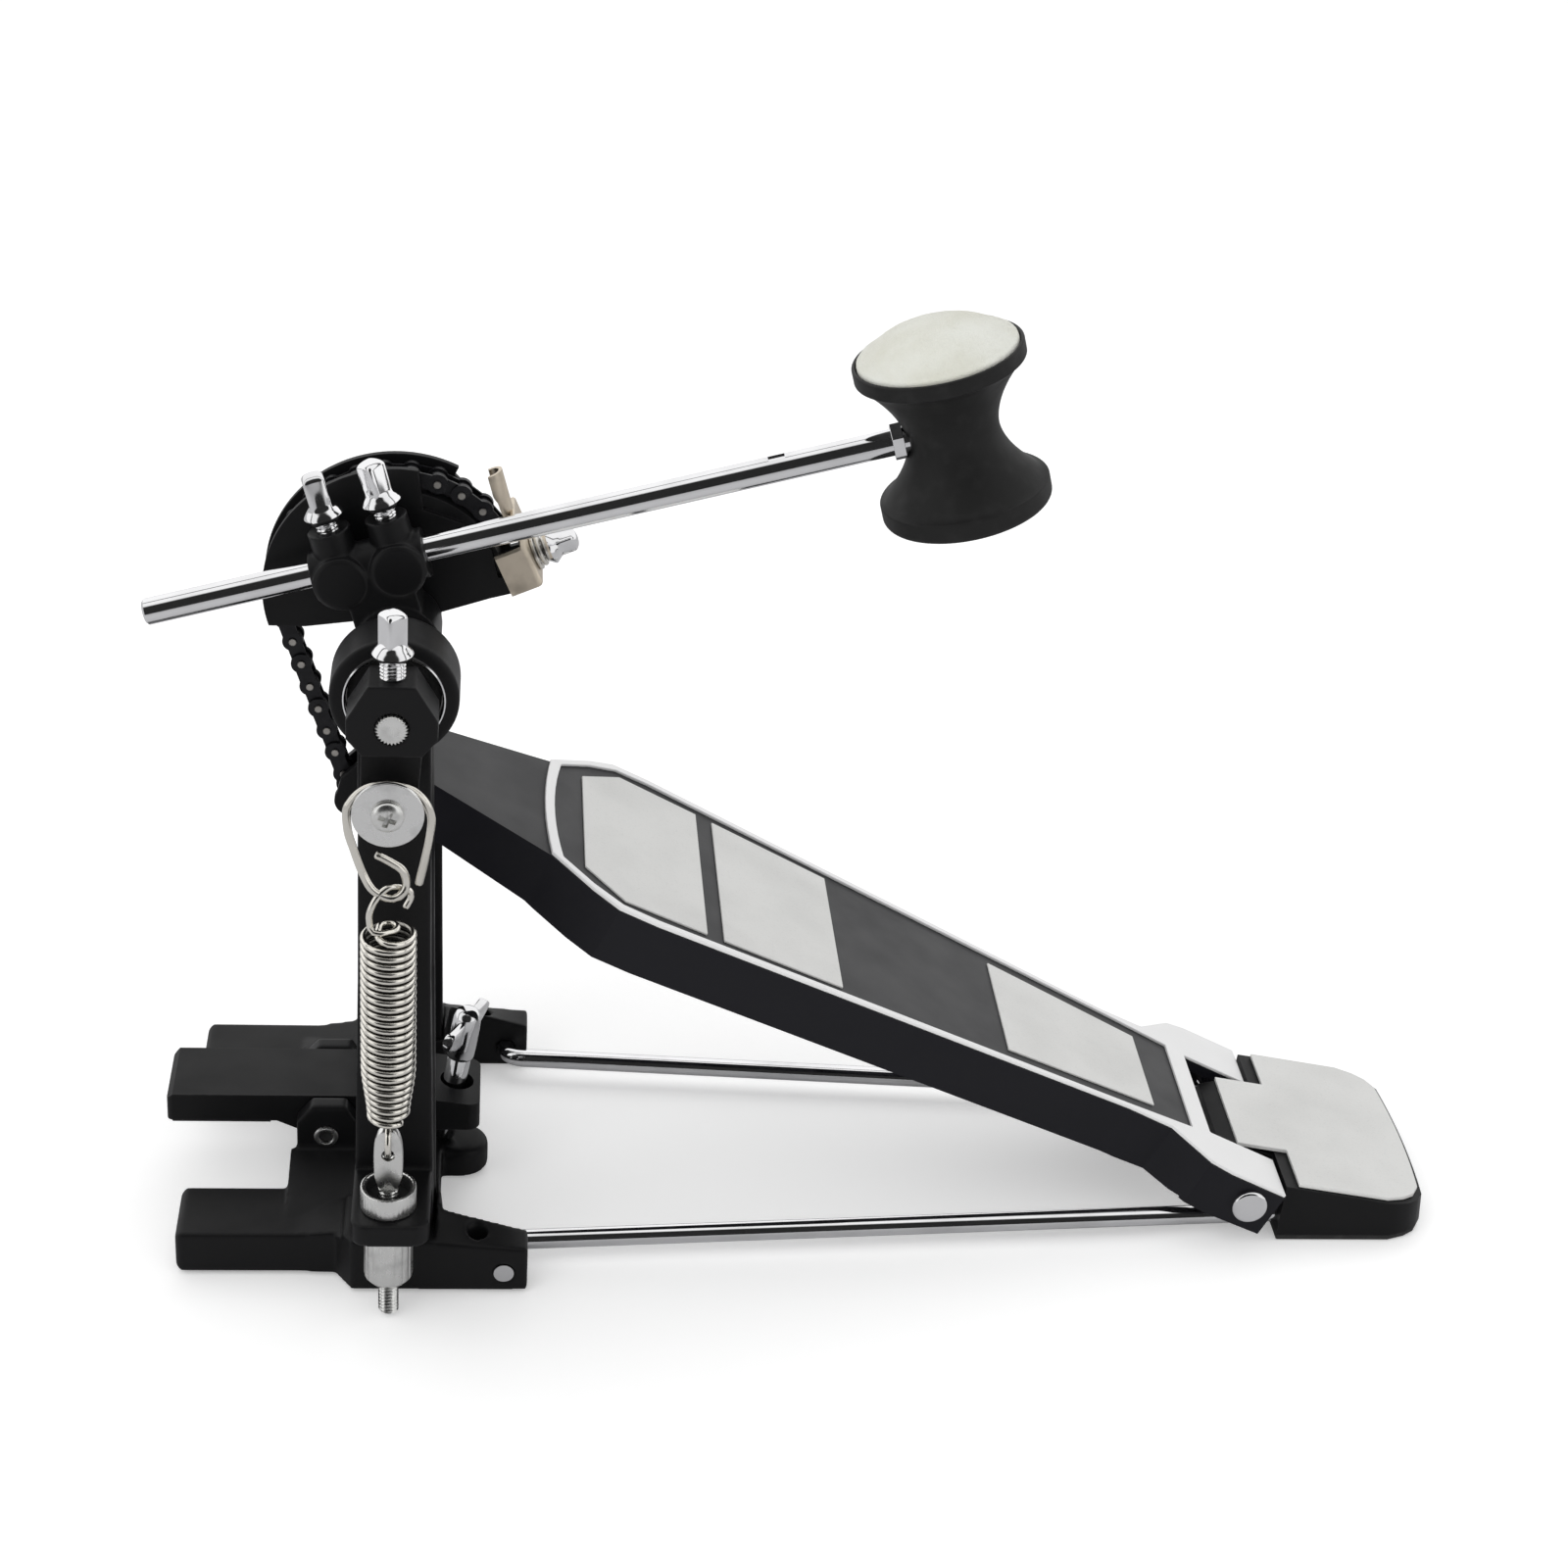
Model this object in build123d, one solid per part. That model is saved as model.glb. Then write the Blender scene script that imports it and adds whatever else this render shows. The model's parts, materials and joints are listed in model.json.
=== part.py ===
from build123d import *
import os
from math import asin, cos, degrees, radians, sin

# Bass drum pedal. Millimetres. +Z up, +X towards the heel, -X towards the drum.
# The origin is the floor point under the drive axle, on the centre plane of the footboard.

# ---------------------------------------------------------------- driving dimensions
AXLE_Z = 208.0            # height of the drive axle
AXLE_R = 6.0              # axle inside the bearings
AXLE_END_R = 4.9          # knurled end that carries the rocker
AXLE_NEAR_Y = -81.0
AXLE_FAR_Y = 63.0

HOUSING_R = 18.8          # round bearing housing on top of each post
HOUSING_Y = (44.0, 62.0)
BEARING_R = 14.0          # 12 x 28 x 8 ball bearing
BEARING_Y = (51.0, 59.0)
BALL_R = 2.4
BALLS = 8

ROD_TILT = 15.6           # beater rod above horizontal at rest, degrees
ROD_LIFT = 25.0           # rod axis to axle axis
ROD_Y = -18.0
ROD_R = 4.0
KEY_SQUARE = 6.6          # drum-key square
ROD_BACK = -71.0          # free end, measured along the rod from the foot of its offset
HEAD_AT = 174.4           # beater head centre along the rod
HEAD_DROP = 1.0           # rod axis above the middle of the head
BOSS_DROP = 2.0           # rod axis above the middle of the clamp bosses
BOSS_AT = (-11.1, 6.25)   # the two clamp towers along the rod
TOWER_TOP = 13.0          # top of the towers above the rod axis

CAM_X, CAM_Z = -1.0, 216.0    # centre of the eccentric chain wheel
FLANGE_R = 40.5
FLANGE_Y = (5.0, 7.0)
PITCH = 8.0
PITCH_R = 36.2
WRAP_START = 198.2        # angle where the hanging chain meets the wheel at rest
FREE_LINKS = 6            # links that leave the wheel during one stroke
LAST_PIN = 13
RUN_LINKS = 8             # straight links between wheel and footboard
PLATE_R = 3.2
PLATE_T = 0.8
PIN_R = 1.15
RUNNING = 0.05            # radial clearance of a running fit

HINGE_X, HINGE_Z = 281.3, 16.6    # footboard hinge
BOARD_SLOPE = 26.0
BOARD_TOP_Z = 162.1       # height of the board's top plane above the origin
BOARD_DEPTH = 18.5
WALL = 3.5
HEEL_FRONT = 294.3        # front edge of the heel plate
COVER_FRONT = 298.8       # front edge of the light sheet on it

CRANK_DROP = 25.8         # spring crank below the axle
CRANK_X = -1.0            # plane of the crank, spring and eyebolt along the pedal
CRANK_Y = -79.6           # plane of the stirrup, spring and eyebolt
CRANK_Z = AXLE_Z - CRANK_DROP
EYE_Z = 61.5
WIRE_R = 1.25
SPRING_R = 7.4
SPRING_Z = (77.0, 141.0)

SPUR_MOUTH_Z = 19.5
LUG_Z = (34.5, 41.8)      # lug that holds the eyebolt
FOOT_Y = (58.6, 69.75)
PIVOT_X, PIVOT_Z = -23.5, 25.7    # hoop clamp pivot
RADIUS_ROD_R = 3.2
RADIUS_ROD_FRONT = (35.0, 52.6, 8.0)     # where the straight part would meet its bent end
RADIUS_ROD_HEEL = (309.0, 33.5, 7.3)

WING_TIP = (14.3, 0, 11.7)    # tip of the wing screw on the base pad
WING_LEAN = 9.0
WING_TURN = 67.0          # wings turned from the pedal's length

SIDES = (-1, 1)


# ---------------------------------------------------------------- helpers
def block(x0, x1, y0, y1, z0, z1):
    """Box between two corners."""
    return Location(((x0 + x1) / 2, (y0 + y1) / 2, (z0 + z1) / 2)) * Box(x1 - x0, y1 - y0, z1 - z0)


def disc_y(radius, y0, y1, x=0.0, z=AXLE_Z):
    """Cylinder along Y, between y0 and y1 in either order."""
    return Location((x, (y0 + y1) / 2, z), (90, 0, 0)) * Cylinder(radius, abs(y1 - y0))


def disc_z(radius, z0, z1, x, y):
    """Cylinder along Z."""
    return Location((x, y, (z0 + z1) / 2)) * Cylinder(radius, z1 - z0)


def ring_y(outer, inner, y0, y1, x=0.0, z=AXLE_Z):
    """Tube along Y."""
    return disc_y(outer, y0, y1, x, z) - disc_y(inner, y0, y1, x, z)


def prism_y(points, y0, y1):
    """Prism along Y with an outline given as (x, z) corners."""
    low, high = sorted((y0, y1))
    face = make_face(Polyline(*[(x, low, z) for x, z in points], close=True))
    return extrude(face, amount=high - low, dir=(0, 1, 0))


def prism_x(points, x0, x1):
    """Prism along X with an outline given as (y, z) corners."""
    face = make_face(Polyline(*[(x0, y, z) for y, z in points], close=True))
    return extrude(face, amount=x1 - x0, dir=(1, 0, 0))


def prism_z(points, z0, z1):
    """Prism along Z with an outline given as (x, y) corners."""
    face = make_face(Polyline(*[(x, y, z0) for x, y in points], close=True))
    return extrude(face, amount=z1 - z0, dir=(0, 0, 1))


def bar(start, end, radius):
    """Round bar between two points."""
    span = Vector(*end) - Vector(*start)
    plane = Plane(origin=start, z_dir=span)
    return plane * Cylinder(radius, span.length, align=(Align.CENTER, Align.CENTER, Align.MIN))


def wire_along(path, radius):
    """Round wire swept along a path."""
    return sweep(Plane(origin=path @ 0, z_dir=path % 0) * Circle(radius), path=path)


def polar(radius, angle, x=CAM_X, z=CAM_Z):
    """Point (x, z) at an angle about the chain wheel's centre."""
    return x + radius * cos(radians(angle)), z + radius * sin(radians(angle))


def both_sides(shape):
    """The shape and its mirror image across the centre plane."""
    return Part() + shape + mirror(shape, about=Plane.XZ)


def save(node, shape):
    export_step(shape, "parts/" + node + ".step")


# Local frame of the beater: +X along the rod, +Z away from the axle.
ROD_DIR = (cos(radians(ROD_TILT)), 0, sin(radians(ROD_TILT)))
ROD_UP = (-sin(radians(ROD_TILT)), 0, cos(radians(ROD_TILT)))
ROD_FOOT = (ROD_LIFT * ROD_UP[0], ROD_Y, AXLE_Z + ROD_LIFT * ROD_UP[2])
BEATER = Plane(origin=ROD_FOOT, x_dir=ROD_DIR, z_dir=ROD_UP)


# ---------------------------------------------------------------- base
def base_casting():
    """Cast base: two feet with front fingers, a cross web, clamp ears and a screw pad."""
    finger_tip, finger_root = -69.0, -30.0
    web_top = 11.0
    foot_outline = [(finger_root, 44), (finger_root, 60.7), (-18.5, 61.5), (-13, FOOT_Y[1]),
                    (42.5, FOOT_Y[1]), (42.5, FOOT_Y[0]), (15.5, FOOT_Y[0]), (14, 44)]
    foot = prism_z(foot_outline, 1.2, 26.0)
    seat = block(-16, 13.3, 42, 72, 20.0, 27)
    slope = [(finger_root - 1, 26.1), (-16, 26.1), (-16, 17.5), (finger_root - 1, 15.7)]
    front_slope = prism_y(slope, 40, 72)
    finger = block(finger_tip, finger_root + 1, 35.2, 60.7, 1.2, 15.7)
    finger = chamfer(finger.edges().group_by(Axis.X)[0], 1.5)
    foot = foot - foot_slope() - seat - front_slope + finger
    rod_end = disc_y(RADIUS_ROD_R, 50, 72, RADIUS_ROD_FRONT[0], RADIUS_ROD_FRONT[2])
    spur_hole = disc_z(3.0, 13.0, 25.0, 26.5, 63.5) + disc_z(3.8, SPUR_MOUTH_Z, 25.0, 26.5, 63.5)
    foot = foot - rod_end - spur_hole
    web = block(-33, 14, -50, 50, 1.2, web_top)
    gusset = prism_x([(20, 21), (20, 1.2), (52, 1.2), (52, 15.7)], -35, -12)
    ear = prism_y([(-33, 5), (-33, 31), (-28, 37), (-17, 37), (-13.5, 31), (-11, 5)], 14.3, 20.5)
    ear = ear - disc_y(3.0, 10, 25, PIVOT_X, PIVOT_Z)
    pad = fillet(disc_z(9.3, 1.2, web_top, 20.0, 0.0).edges().group_by(Axis.Z)[-1], 2.5)
    pad += block(8, 20, -9.3, 9.3, 1.2, web_top - 2.5)
    return both_sides(foot + ear + gusset) + web + pad - bolt_holes()


def foot_slope():
    """Cut above the rear of a foot; its floor is steeper on the inside, where it meets the post."""
    sections = []
    for y, front, rear in ((FOOT_Y[0] - 4, 28.2, 16.3), (FOOT_Y[1] + 0.5, 18.8, 16.8)):
        corners = [(13.0, y, front), (43.5, y, rear), (43.5, y, 32), (13.0, y, 32)]
        sections.append(make_face(Polyline(*corners, close=True)))
    return loft(sections, ruled=True)


def bolt_holes():
    """Counterbored holes for the post bolts."""
    holes = Part()
    for side in SIDES:
        holes += disc_z(3.05, 0, 30, 0, side * 53.0)
        holes += disc_z(5.3, 0, 6.0, 0, side * 53.0)
    return holes


def post(y_front):
    """One upright: a tapered front plate, a wider rear plate and the bearing housing."""
    front = prism_y([(-12.4, 20.0), (12.4, 20.0), (11.0, 110), (10.6, AXLE_Z - 8),
                     (-10.6, AXLE_Z - 8), (-11.0, 110)], 50.0, y_front)
    rear = prism_y([(-9.5, 20.0), (13.0, 20.0), (11.0, AXLE_Z - 8), (-9.5, AXLE_Z - 8)], 45.0, 50.0)
    housing = disc_y(HOUSING_R, *HOUSING_Y)
    housing = fillet(housing.edges().filter_by(GeomType.CIRCLE), 1.2)
    body = front + rear + housing
    body -= disc_y(BEARING_R, BEARING_Y[0], 64)
    body -= disc_y(11.0, 40, BEARING_Y[0])
    return body - disc_z(3.0, 18, 38, 0, 53.0)


def near_post():
    """Spring-side upright, with the lug for the eyebolt."""
    lug = block(-12.3, 11.8, -91.0, -58.0, *LUG_Z)
    lug = fillet(lug.edges().filter_by(Axis.Z).group_by(Axis.Y)[0], 5.0)
    rib = prism_y([(-11.8, LUG_Z[0]), (11.8, LUG_Z[0]), (9.0, 24.0), (-9.0, 24.0)], -66.0, -58.0)
    return mirror(post(60.6), about=Plane.XZ) + lug + rib - disc_z(3.3, 30, 45, CRANK_X, CRANK_Y)


def post_bolts():
    """Socket head bolts that hold the posts down."""
    bolts = Part()
    for side in SIDES:
        bolt = disc_z(3.0, 5.9, 34.0, 0, side * 53.0) + disc_z(5.0, 1.8, 6.0, 0, side * 53.0)
        bolts += bolt - disc_z(2.3, 1.7, 4.6, 0, side * 53.0)
    return bolts


def foot_pads():
    """Rubber strips under the feet and under the middle of the base."""
    feet = both_sides(block(-64, -8, 40, 56, 0, 1.2) + block(8, 38, 60, 68, 0, 1.2))
    return feet + block(-28, 12, -12, 12, 0, 1.2)


def clamp_pivot_pin():
    """Pin that carries the hoop clamp jaw."""
    pin = disc_y(3.0, -20.4, 20.4, PIVOT_X, PIVOT_Z)
    return pin + disc_y(3.6, -21.4, -20.6, PIVOT_X, PIVOT_Z) + disc_y(3.0, -20.7, -20.3, PIVOT_X, PIVOT_Z)


# ---------------------------------------------------------------- radius rods and heel
def radius_rods():
    """Two floor rods, bent into the feet and straight into the heel plate."""
    bend = 7.0
    corner, heel_end = Vector(*RADIUS_ROD_FRONT), Vector(*RADIUS_ROD_HEEL)
    elbow = Vector(corner.X, FOOT_Y[1] + 0.3, corner.Z)
    along = (heel_end - corner).normalized()
    path = Line(elbow, corner + Vector(0, bend, 0))
    path += Spline(corner + Vector(0, bend, 0), corner + along * bend, tangents=[(0, -1, 0), along])
    path += Line(corner + along * bend, heel_end)
    return both_sides(wire_along(path, RADIUS_ROD_R))


def heel_face(inset, front):
    """Plan face of the heel plate, shrunk by inset; the rear edge is bowed."""
    half, rear = 39.5 - inset, 345.2 - inset
    side = [(front, -half), (rear - 14.2, -half), (rear - 8.2, 2.1 - half), (rear - 4.2, 4.9 - half),
            (rear - 1.5, 9.5 - half)]
    other = [(x, -y) for x, y in reversed(side)]
    outline = Polyline(*side) + ThreePointArc(side[-1], (rear, 0), other[0]) + Polyline(*other, side[0])
    return make_face(outline)


def heel_slab(inset, front, z0, z1, draft=0.0):
    """Slab with the heel's outline; a draft makes it narrower towards the top."""
    return Location((0, 0, z0)) * extrude(heel_face(inset, front), z1 - z0, taper=draft)


def heel_plate():
    """Cast heel plate with the hinge lug; the top falls towards the rear."""
    body = heel_slab(-1.2, HEEL_FRONT - 1.2, 2.0, 26.0, 4.0)
    lug_side = [(299, 2), (299, 24), (298, 18.4), (282, 23.3), (276, 22), (273.5, 16), (276, 7)]
    lug = prism_y(lug_side, -19.5, 19.5)
    top = prism_y([(280, 23.6), (346, 12.1), (350, 12.1), (350, 30), (280, 30)], -50, 50)
    body = body + lug - top
    body -= both_sides(bar(RADIUS_ROD_FRONT, RADIUS_ROD_HEEL, RADIUS_ROD_R))
    return body - disc_y(3.0, -25, 25, HINGE_X, HINGE_Z)


def heel_cover():
    """Light sheet over the heel plate, with a tongue over the hinge lug."""
    sheet = heel_slab(0.8, COVER_FRONT, 2.0, 26.0)
    sheet += prism_z([(281.5, -19.5), (300, -19.5), (300, 19.5), (281.5, 19.5)], 2, 26)
    bottom = [(280, 23.65), (346, 12.15)]
    band = prism_y(bottom + [(x, z + 1.55) for x, z in reversed(bottom)], -50, 50)
    return sheet & band


def heel_pad():
    """Rubber sole of the heel plate."""
    return heel_slab(-0.9, HEEL_FRONT - 0.9, 0.0, 2.0)


def hinge_pin():
    """Footboard hinge pin with a domed cap on each end."""
    pin = disc_y(3.0, -43.4, 43.4, HINGE_X, HINGE_Z)
    cap = disc_y(6.0, 43.6, 45.5, HINGE_X, HINGE_Z) + disc_y(3.0, 43.0, 44.0, HINGE_X, HINGE_Z)
    cap = fillet(cap.edges().group_by(Axis.Y)[-1], 1.0)
    return pin + both_sides(cap)


# ---------------------------------------------------------------- bearings and axle
def bearing_rings(outer, inner):
    """One ring of each bearing, with the ball groove."""
    ring = ring_y(outer, inner, *BEARING_Y)
    mid = sum(BEARING_Y) / 2
    groove = Location((0, mid, AXLE_Z), (90, 0, 0)) * Torus(10.0, BALL_R + RUNNING)
    return both_sides(ring - groove)


def bearing_balls():
    """The rolling balls of both bearings."""
    balls = Part()
    mid = sum(BEARING_Y) / 2
    for side in SIDES:
        for i in range(BALLS):
            x, z = polar(10.0, i * 360 / BALLS, 0, AXLE_Z)
            balls += Location((x, side * mid, z)) * Sphere(BALL_R)
    return balls


def axle():
    """Drive axle, stepped down for the rocker."""
    shaft = disc_y(AXLE_R, -63.5, AXLE_FAR_Y) + disc_y(AXLE_END_R, AXLE_NEAR_Y, -63.5)
    return chamfer(shaft.edges().group_by(Axis.Y)[0], 0.8)


# ---------------------------------------------------------------- chain wheel
def cam_wheel():
    """Eccentric chain wheel: two flanges, a hub and a rim segment under the fixed links."""
    cut = [(-60, 204.2), (-28.8, 204.2), (11.7, 209.9), (26.7, 215.0), (60, 224.4), (60, 150), (-60, 150)]
    flange_far = disc_y(FLANGE_R, *FLANGE_Y, CAM_X, CAM_Z) - prism_y(cut, 0, 12)
    flange_near = disc_y(FLANGE_R, -FLANGE_Y[1], -FLANGE_Y[0], CAM_X, CAM_Z) - prism_y(cut, -12, 0)
    open_side = prism_y([(4.5, 260), (6.5, 243.5), (18, 239.5), (27, 231), (29, 222), (60, 222), (60, 260)],
                        -9, -4)
    flange_near -= open_side
    shoulder = prism_y([polar(35.5, 18), polar(52, 18), polar(52, 64), polar(38, 64), polar(35.5, 42)], 4, 9)
    flange_far -= shoulder
    hub = disc_y(11.5, -8.6, 9.5)
    rim = disc_y(PITCH_R - PLATE_R - 0.3, -5.1, 5.1, CAM_X, CAM_Z)
    keep = prism_y([(CAM_X, CAM_Z - 4), polar(60, 3), polar(70, 35), polar(70, 75), polar(60, 103)], -6, 6)
    rim = rim & keep
    core = disc_y(18.0, -5.1, 5.1, CAM_X, CAM_Z) - prism_y(cut, -12, 12)
    body = flange_far + flange_near + hub + rim + core
    body -= disc_y(AXLE_R, -12, 12)
    return body - CLAMP * chain_bolt_hole()


CLAMP_ANGLE = 24.0
CLAMP = Plane(origin=(CAM_X, 0, CAM_Z),
              x_dir=(cos(radians(CLAMP_ANGLE)), 0, sin(radians(CLAMP_ANGLE))),
              z_dir=(-sin(radians(CLAMP_ANGLE)), 0, cos(radians(CLAMP_ANGLE))))
BOLT_T = -6.2             # chain bolt position along the wheel's rim


def bar_x(radius, x0, x1, y=0.0, z=0.0):
    """Cylinder along a local X axis."""
    return Location(((x0 + x1) / 2, y, z), (0, 90, 0)) * Cylinder(radius, x1 - x0)


def chain_bolt_hole():
    return bar_x(2.4 + RUNNING, 21.9, 50.0, 0, BOLT_T)


def chain_bracket():
    """Bent plate that clamps the end of the chain against the wheel."""
    outer = block(40.6, 42.2, -10.2, 10.2, -13.0, 10.0)
    tongue = prism_y([(40.6, 9.5), (42.2, 9.5), (43.2, 15.5), (43.2, 21.5), (41.6, 21.8), (41.6, 16)], -6, 6)
    cheek = block(31.9, 42.2, -10.2, -8.7, -13.0, 1.0)
    return CLAMP * (outer + tongue + cheek - chain_bolt_hole())


def chain_bolt():
    """Square-headed bolt through the bracket."""
    shank = bar_x(2.4, 22.0, 46.0, 0, BOLT_T)
    collar = bar_x(5.2, 45.0, 47.6, 0, BOLT_T)
    head = block(47.4, 56.2, -2.9, 2.9, BOLT_T - 2.9, BOLT_T + 2.9)
    head = chamfer(head.edges().group_by(Axis.X)[-1], 0.9)
    return CLAMP * (shank + collar + head)


def chain_bolt_washer():
    """Flat washer and spring washer under the chain bolt."""
    washer = bar_x(5.6, 42.3, 43.5, 0, BOLT_T) + bar_x(4.8, 43.4, 44.9, 0, BOLT_T)
    return CLAMP * (washer - chain_bolt_hole())


# ---------------------------------------------------------------- chain
def link_plate(p, q, y0, y1):
    """One chain side plate between the pins p and q."""
    span = Vector(q[0] - p[0], 0, q[1] - p[1])
    plane = Plane(origin=((p[0] + q[0]) / 2, (y0 + y1) / 2, (p[1] + q[1]) / 2), x_dir=span, z_dir=(0, 1, 0))
    waist = extrude(Rectangle(PITCH, 1.5 * PLATE_R), (y1 - y0) / 2, both=True)
    ends = disc_y(PLATE_R, y0, y1, *p) + disc_y(PLATE_R, y0, y1, *q)
    return plane * waist + ends


def inner_link(p, q):
    """Two inner plates on two hollow rollers."""
    y0, y1 = 1.55, 1.55 + PLATE_T
    link = link_plate(p, q, y0, y1) + link_plate(p, q, -y1, -y0)
    for pin in (p, q):
        link += disc_y(2.5, -1.6, 1.6, *pin)
    for pin in (p, q):
        link -= disc_y(PIN_R + RUNNING, -6, 6, *pin)
    return link


def outer_link(p, q, pins):
    """Two outer plates and the pins at the given ends."""
    y0 = 1.55 + PLATE_T + 0.1
    y1 = y0 + PLATE_T
    link = link_plate(p, q, y0, y1) + link_plate(p, q, -y1, -y0)
    for pin in pins:
        link += disc_y(PIN_R, -y1 - 0.6, y1 + 0.6, *pin)
    return link


def wheel_pin(k):
    """Pin k of the chain, counted from where the chain meets the wheel."""
    step = 2 * degrees(asin(PITCH / 2 / PITCH_R))
    return polar(PITCH_R, WRAP_START - k * step)


def run_pin(k):
    """Pin k of the straight run, counted down from the wheel."""
    x, z = wheel_pin(0)
    tangent = radians(WRAP_START + 90)
    return x + k * PITCH * cos(tangent), z + k * PITCH * sin(tangent)


def chain_run():
    """Straight links down to the footboard; the lowest one is an inner link."""
    run = Part()
    for k in range(RUN_LINKS):
        p, q = run_pin(k), run_pin(k + 1)
        run += outer_link(p, q, (p, q)) if k % 2 == 0 else inner_link(p, q)
    return run


def chain_link(k):
    """Link k above the run; the top pin of the last free link is left out."""
    p, q = wheel_pin(k - 1), wheel_pin(k)
    if k % 2:
        return inner_link(p, q)
    return outer_link(p, q, (p,) if k == FREE_LINKS else (p, q))


def chain_fixed():
    """Links that stay on the wheel, up to the bracket."""
    links = Part()
    for k in range(FREE_LINKS + 1, LAST_PIN + 1):
        p, q = wheel_pin(k - 1), wheel_pin(k)
        links += inner_link(p, q) if k % 2 else outer_link(p, q, (p, q))
    return links


# ---------------------------------------------------------------- beater
def beater_hub():
    """Clamp casting on the axle with two screw towers."""
    half = -ROD_Y - 9.2
    body = Location((0, 0, -BOSS_DROP / 2)) * bar_x(7.6, -19.5, 14.8)
    neck = block(-11.0, 9.5, -half + 0.8, half - 0.8, -ROD_LIFT, -BOSS_DROP)
    for at in BOSS_AT:
        body += Location((at, 0, -BOSS_DROP), (90, 0, 0)) * Cylinder(8.3, 2 * half - 1.2)
        body += Location((at, -half / 2, -BOSS_DROP), (90, 0, 0)) * Cylinder(7.4, half)
        body += disc_z(6.4, -BOSS_DROP, TOWER_TOP, at, 0)
    barrel = Location((0, 0, -ROD_LIFT), (90, 0, 0)) * Cylinder(12.6, 2 * half - 0.4)
    body = body + neck + barrel
    body -= bar_x(ROD_R + RUNNING, -30, 30)
    body -= Location((0, 0, -ROD_LIFT), (90, 0, 0)) * Cylinder(AXLE_R, 40)
    for at in BOSS_AT:
        body -= disc_z(3.0 + RUNNING, 2.0, TOWER_TOP + 1, at, 0)
    return BEATER * body


def key_screw(length, turn):
    """Drum-key screw standing on its tip: shank, flange and square head turned about its axis."""
    half = KEY_SQUARE / 2
    shank = disc_z(3.0, 0, length + 0.2, 0, 0)
    flange = disc_z(5.9, length, length + 2.6, 0, 0) + disc_z(4.1, length + 2.4, length + 5.6, 0, 0)
    head = block(-half, half, -half, half, length + 5.4, length + 16.0)
    head = chamfer(head.edges().group_by(Axis.Z)[-1], 1.2)
    return shank + flange + Rot(0, 0, turn) * head


def hub_screw(index, turn):
    """Clamp screw in one tower; its tip stops just above the rod."""
    return BEATER * (Location((BOSS_AT[index], 0, ROD_R + 0.3)) * key_screw(11.0, turn))


def beater_rod():
    """Round rod with a small flat pocket near the head."""
    rod = bar_x(ROD_R, ROD_BACK, HEAD_AT + 8.0)
    rod = chamfer(rod.edges().filter_by(GeomType.CIRCLE), 0.7)
    pocket = block(119.5, 124.5, -1.8, 1.8, ROD_R - 0.9, ROD_R + 1)
    return BEATER * (rod - pocket)


def beater_head():
    """Spool-shaped head, turned about the axis square to the rod."""
    low, high, rim = -24.5, 25.8, 25.6
    profile = Polyline((0, low), (rim - 2, low), (rim, low + 2), (rim, low + 6), (rim - 1.5, low + 7))
    profile += ThreePointArc((rim - 1.5, low + 7), (13.8, 0.5), (rim - 1.5, 20.6))
    profile += Polyline((rim - 1.5, 20.6), (rim, 21.4), (rim, high), (24.3, high), (24.3, high - 3),
                        (0, high - 3))
    profile += Line((0, high - 3), (0, low))
    face = Plane.XZ * make_face(profile)
    spool = revolve(face, axis=Axis.Z)
    spool = Location((HEAD_AT, 0, -HEAD_DROP)) * spool
    return BEATER * (spool - bar_x(ROD_R + RUNNING, HEAD_AT - 30, HEAD_AT + 8.2))


def felt_pad():
    """Domed felt face of the head."""
    base, skirt, rise, radius = 22.9, 3.0, 8.0, 24.1
    dome_r = (radius ** 2 + rise ** 2) / (2 * rise)
    dome = Location((0, 0, base + skirt + rise - dome_r)) * Sphere(dome_r)
    pad = dome & disc_z(radius, base, base + 20, 0, 0)
    return BEATER * Location((HEAD_AT, 0, -HEAD_DROP)) * pad


def head_nut():
    """Thin lock nut where the rod enters the head."""
    nut = Location((HEAD_AT - 18.2, 0, 0), (0, 90, 0)) * extrude(RegularPolygon(5.9, 6), 3.4)
    return BEATER * (nut - bar_x(ROD_R, HEAD_AT - 30, HEAD_AT))


# ---------------------------------------------------------------- spring side
def rocker():
    """Lever on the axle end that carries the spring crank."""
    half = [(6.7, 13.2), (13.0, 2.5), (13.0, -3.5), (8.5, -9.0)]
    outline = half + [(-x, z) for x, z in reversed(half)]
    hub = prism_y([(x, AXLE_Z + z) for x, z in outline], -80.0, -66.0)
    arm = prism_y([(-9.0, 202), (8.8, 202), (7.2, CRANK_Z), (-9.2, CRANK_Z)], -75.6, -66.0)
    arm += disc_y(8.2, -75.6, -66.0, CRANK_X, CRANK_Z)
    body = hub + arm
    body -= disc_y(AXLE_END_R, -82, -60)
    body -= disc_y(2.5 + RUNNING, -77, -65, CRANK_X, CRANK_Z)
    return body - disc_z(3.0 + RUNNING, AXLE_Z, AXLE_Z + 20, 0, -73.0)


def rocker_screw():
    """Drum-key screw on top of the rocker; its tip stops just above the axle."""
    return Location((0, -73.0, AXLE_Z + AXLE_END_R + 0.3)) * key_screw(13.0, 35)


def crank_washer():
    """Washer and sleeve that the stirrup hangs on."""
    washer = disc_y(6.8, -82.4, -75.6, CRANK_X, CRANK_Z) + disc_y(10.4, -83.9, -82.4, CRANK_X, CRANK_Z)
    return washer - disc_y(2.5 + RUNNING, -84, -75, CRANK_X, CRANK_Z)


def crank_screw():
    """Pan-head screw with a cross recess."""
    head = disc_y(4.8, -86.5, -84.0, 0, 0)
    head = fillet(head.edges().group_by(Axis.Y)[0], 1.6)
    cross = block(-2.6, 2.6, -87, -85.3, -0.5, 0.5) + block(-0.5, 0.5, -87, -85.3, -2.6, 2.6)
    return Location((CRANK_X, 0, CRANK_Z)) * (head - cross + disc_y(2.5, -84.2, -66.5, 0, 0))


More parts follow.
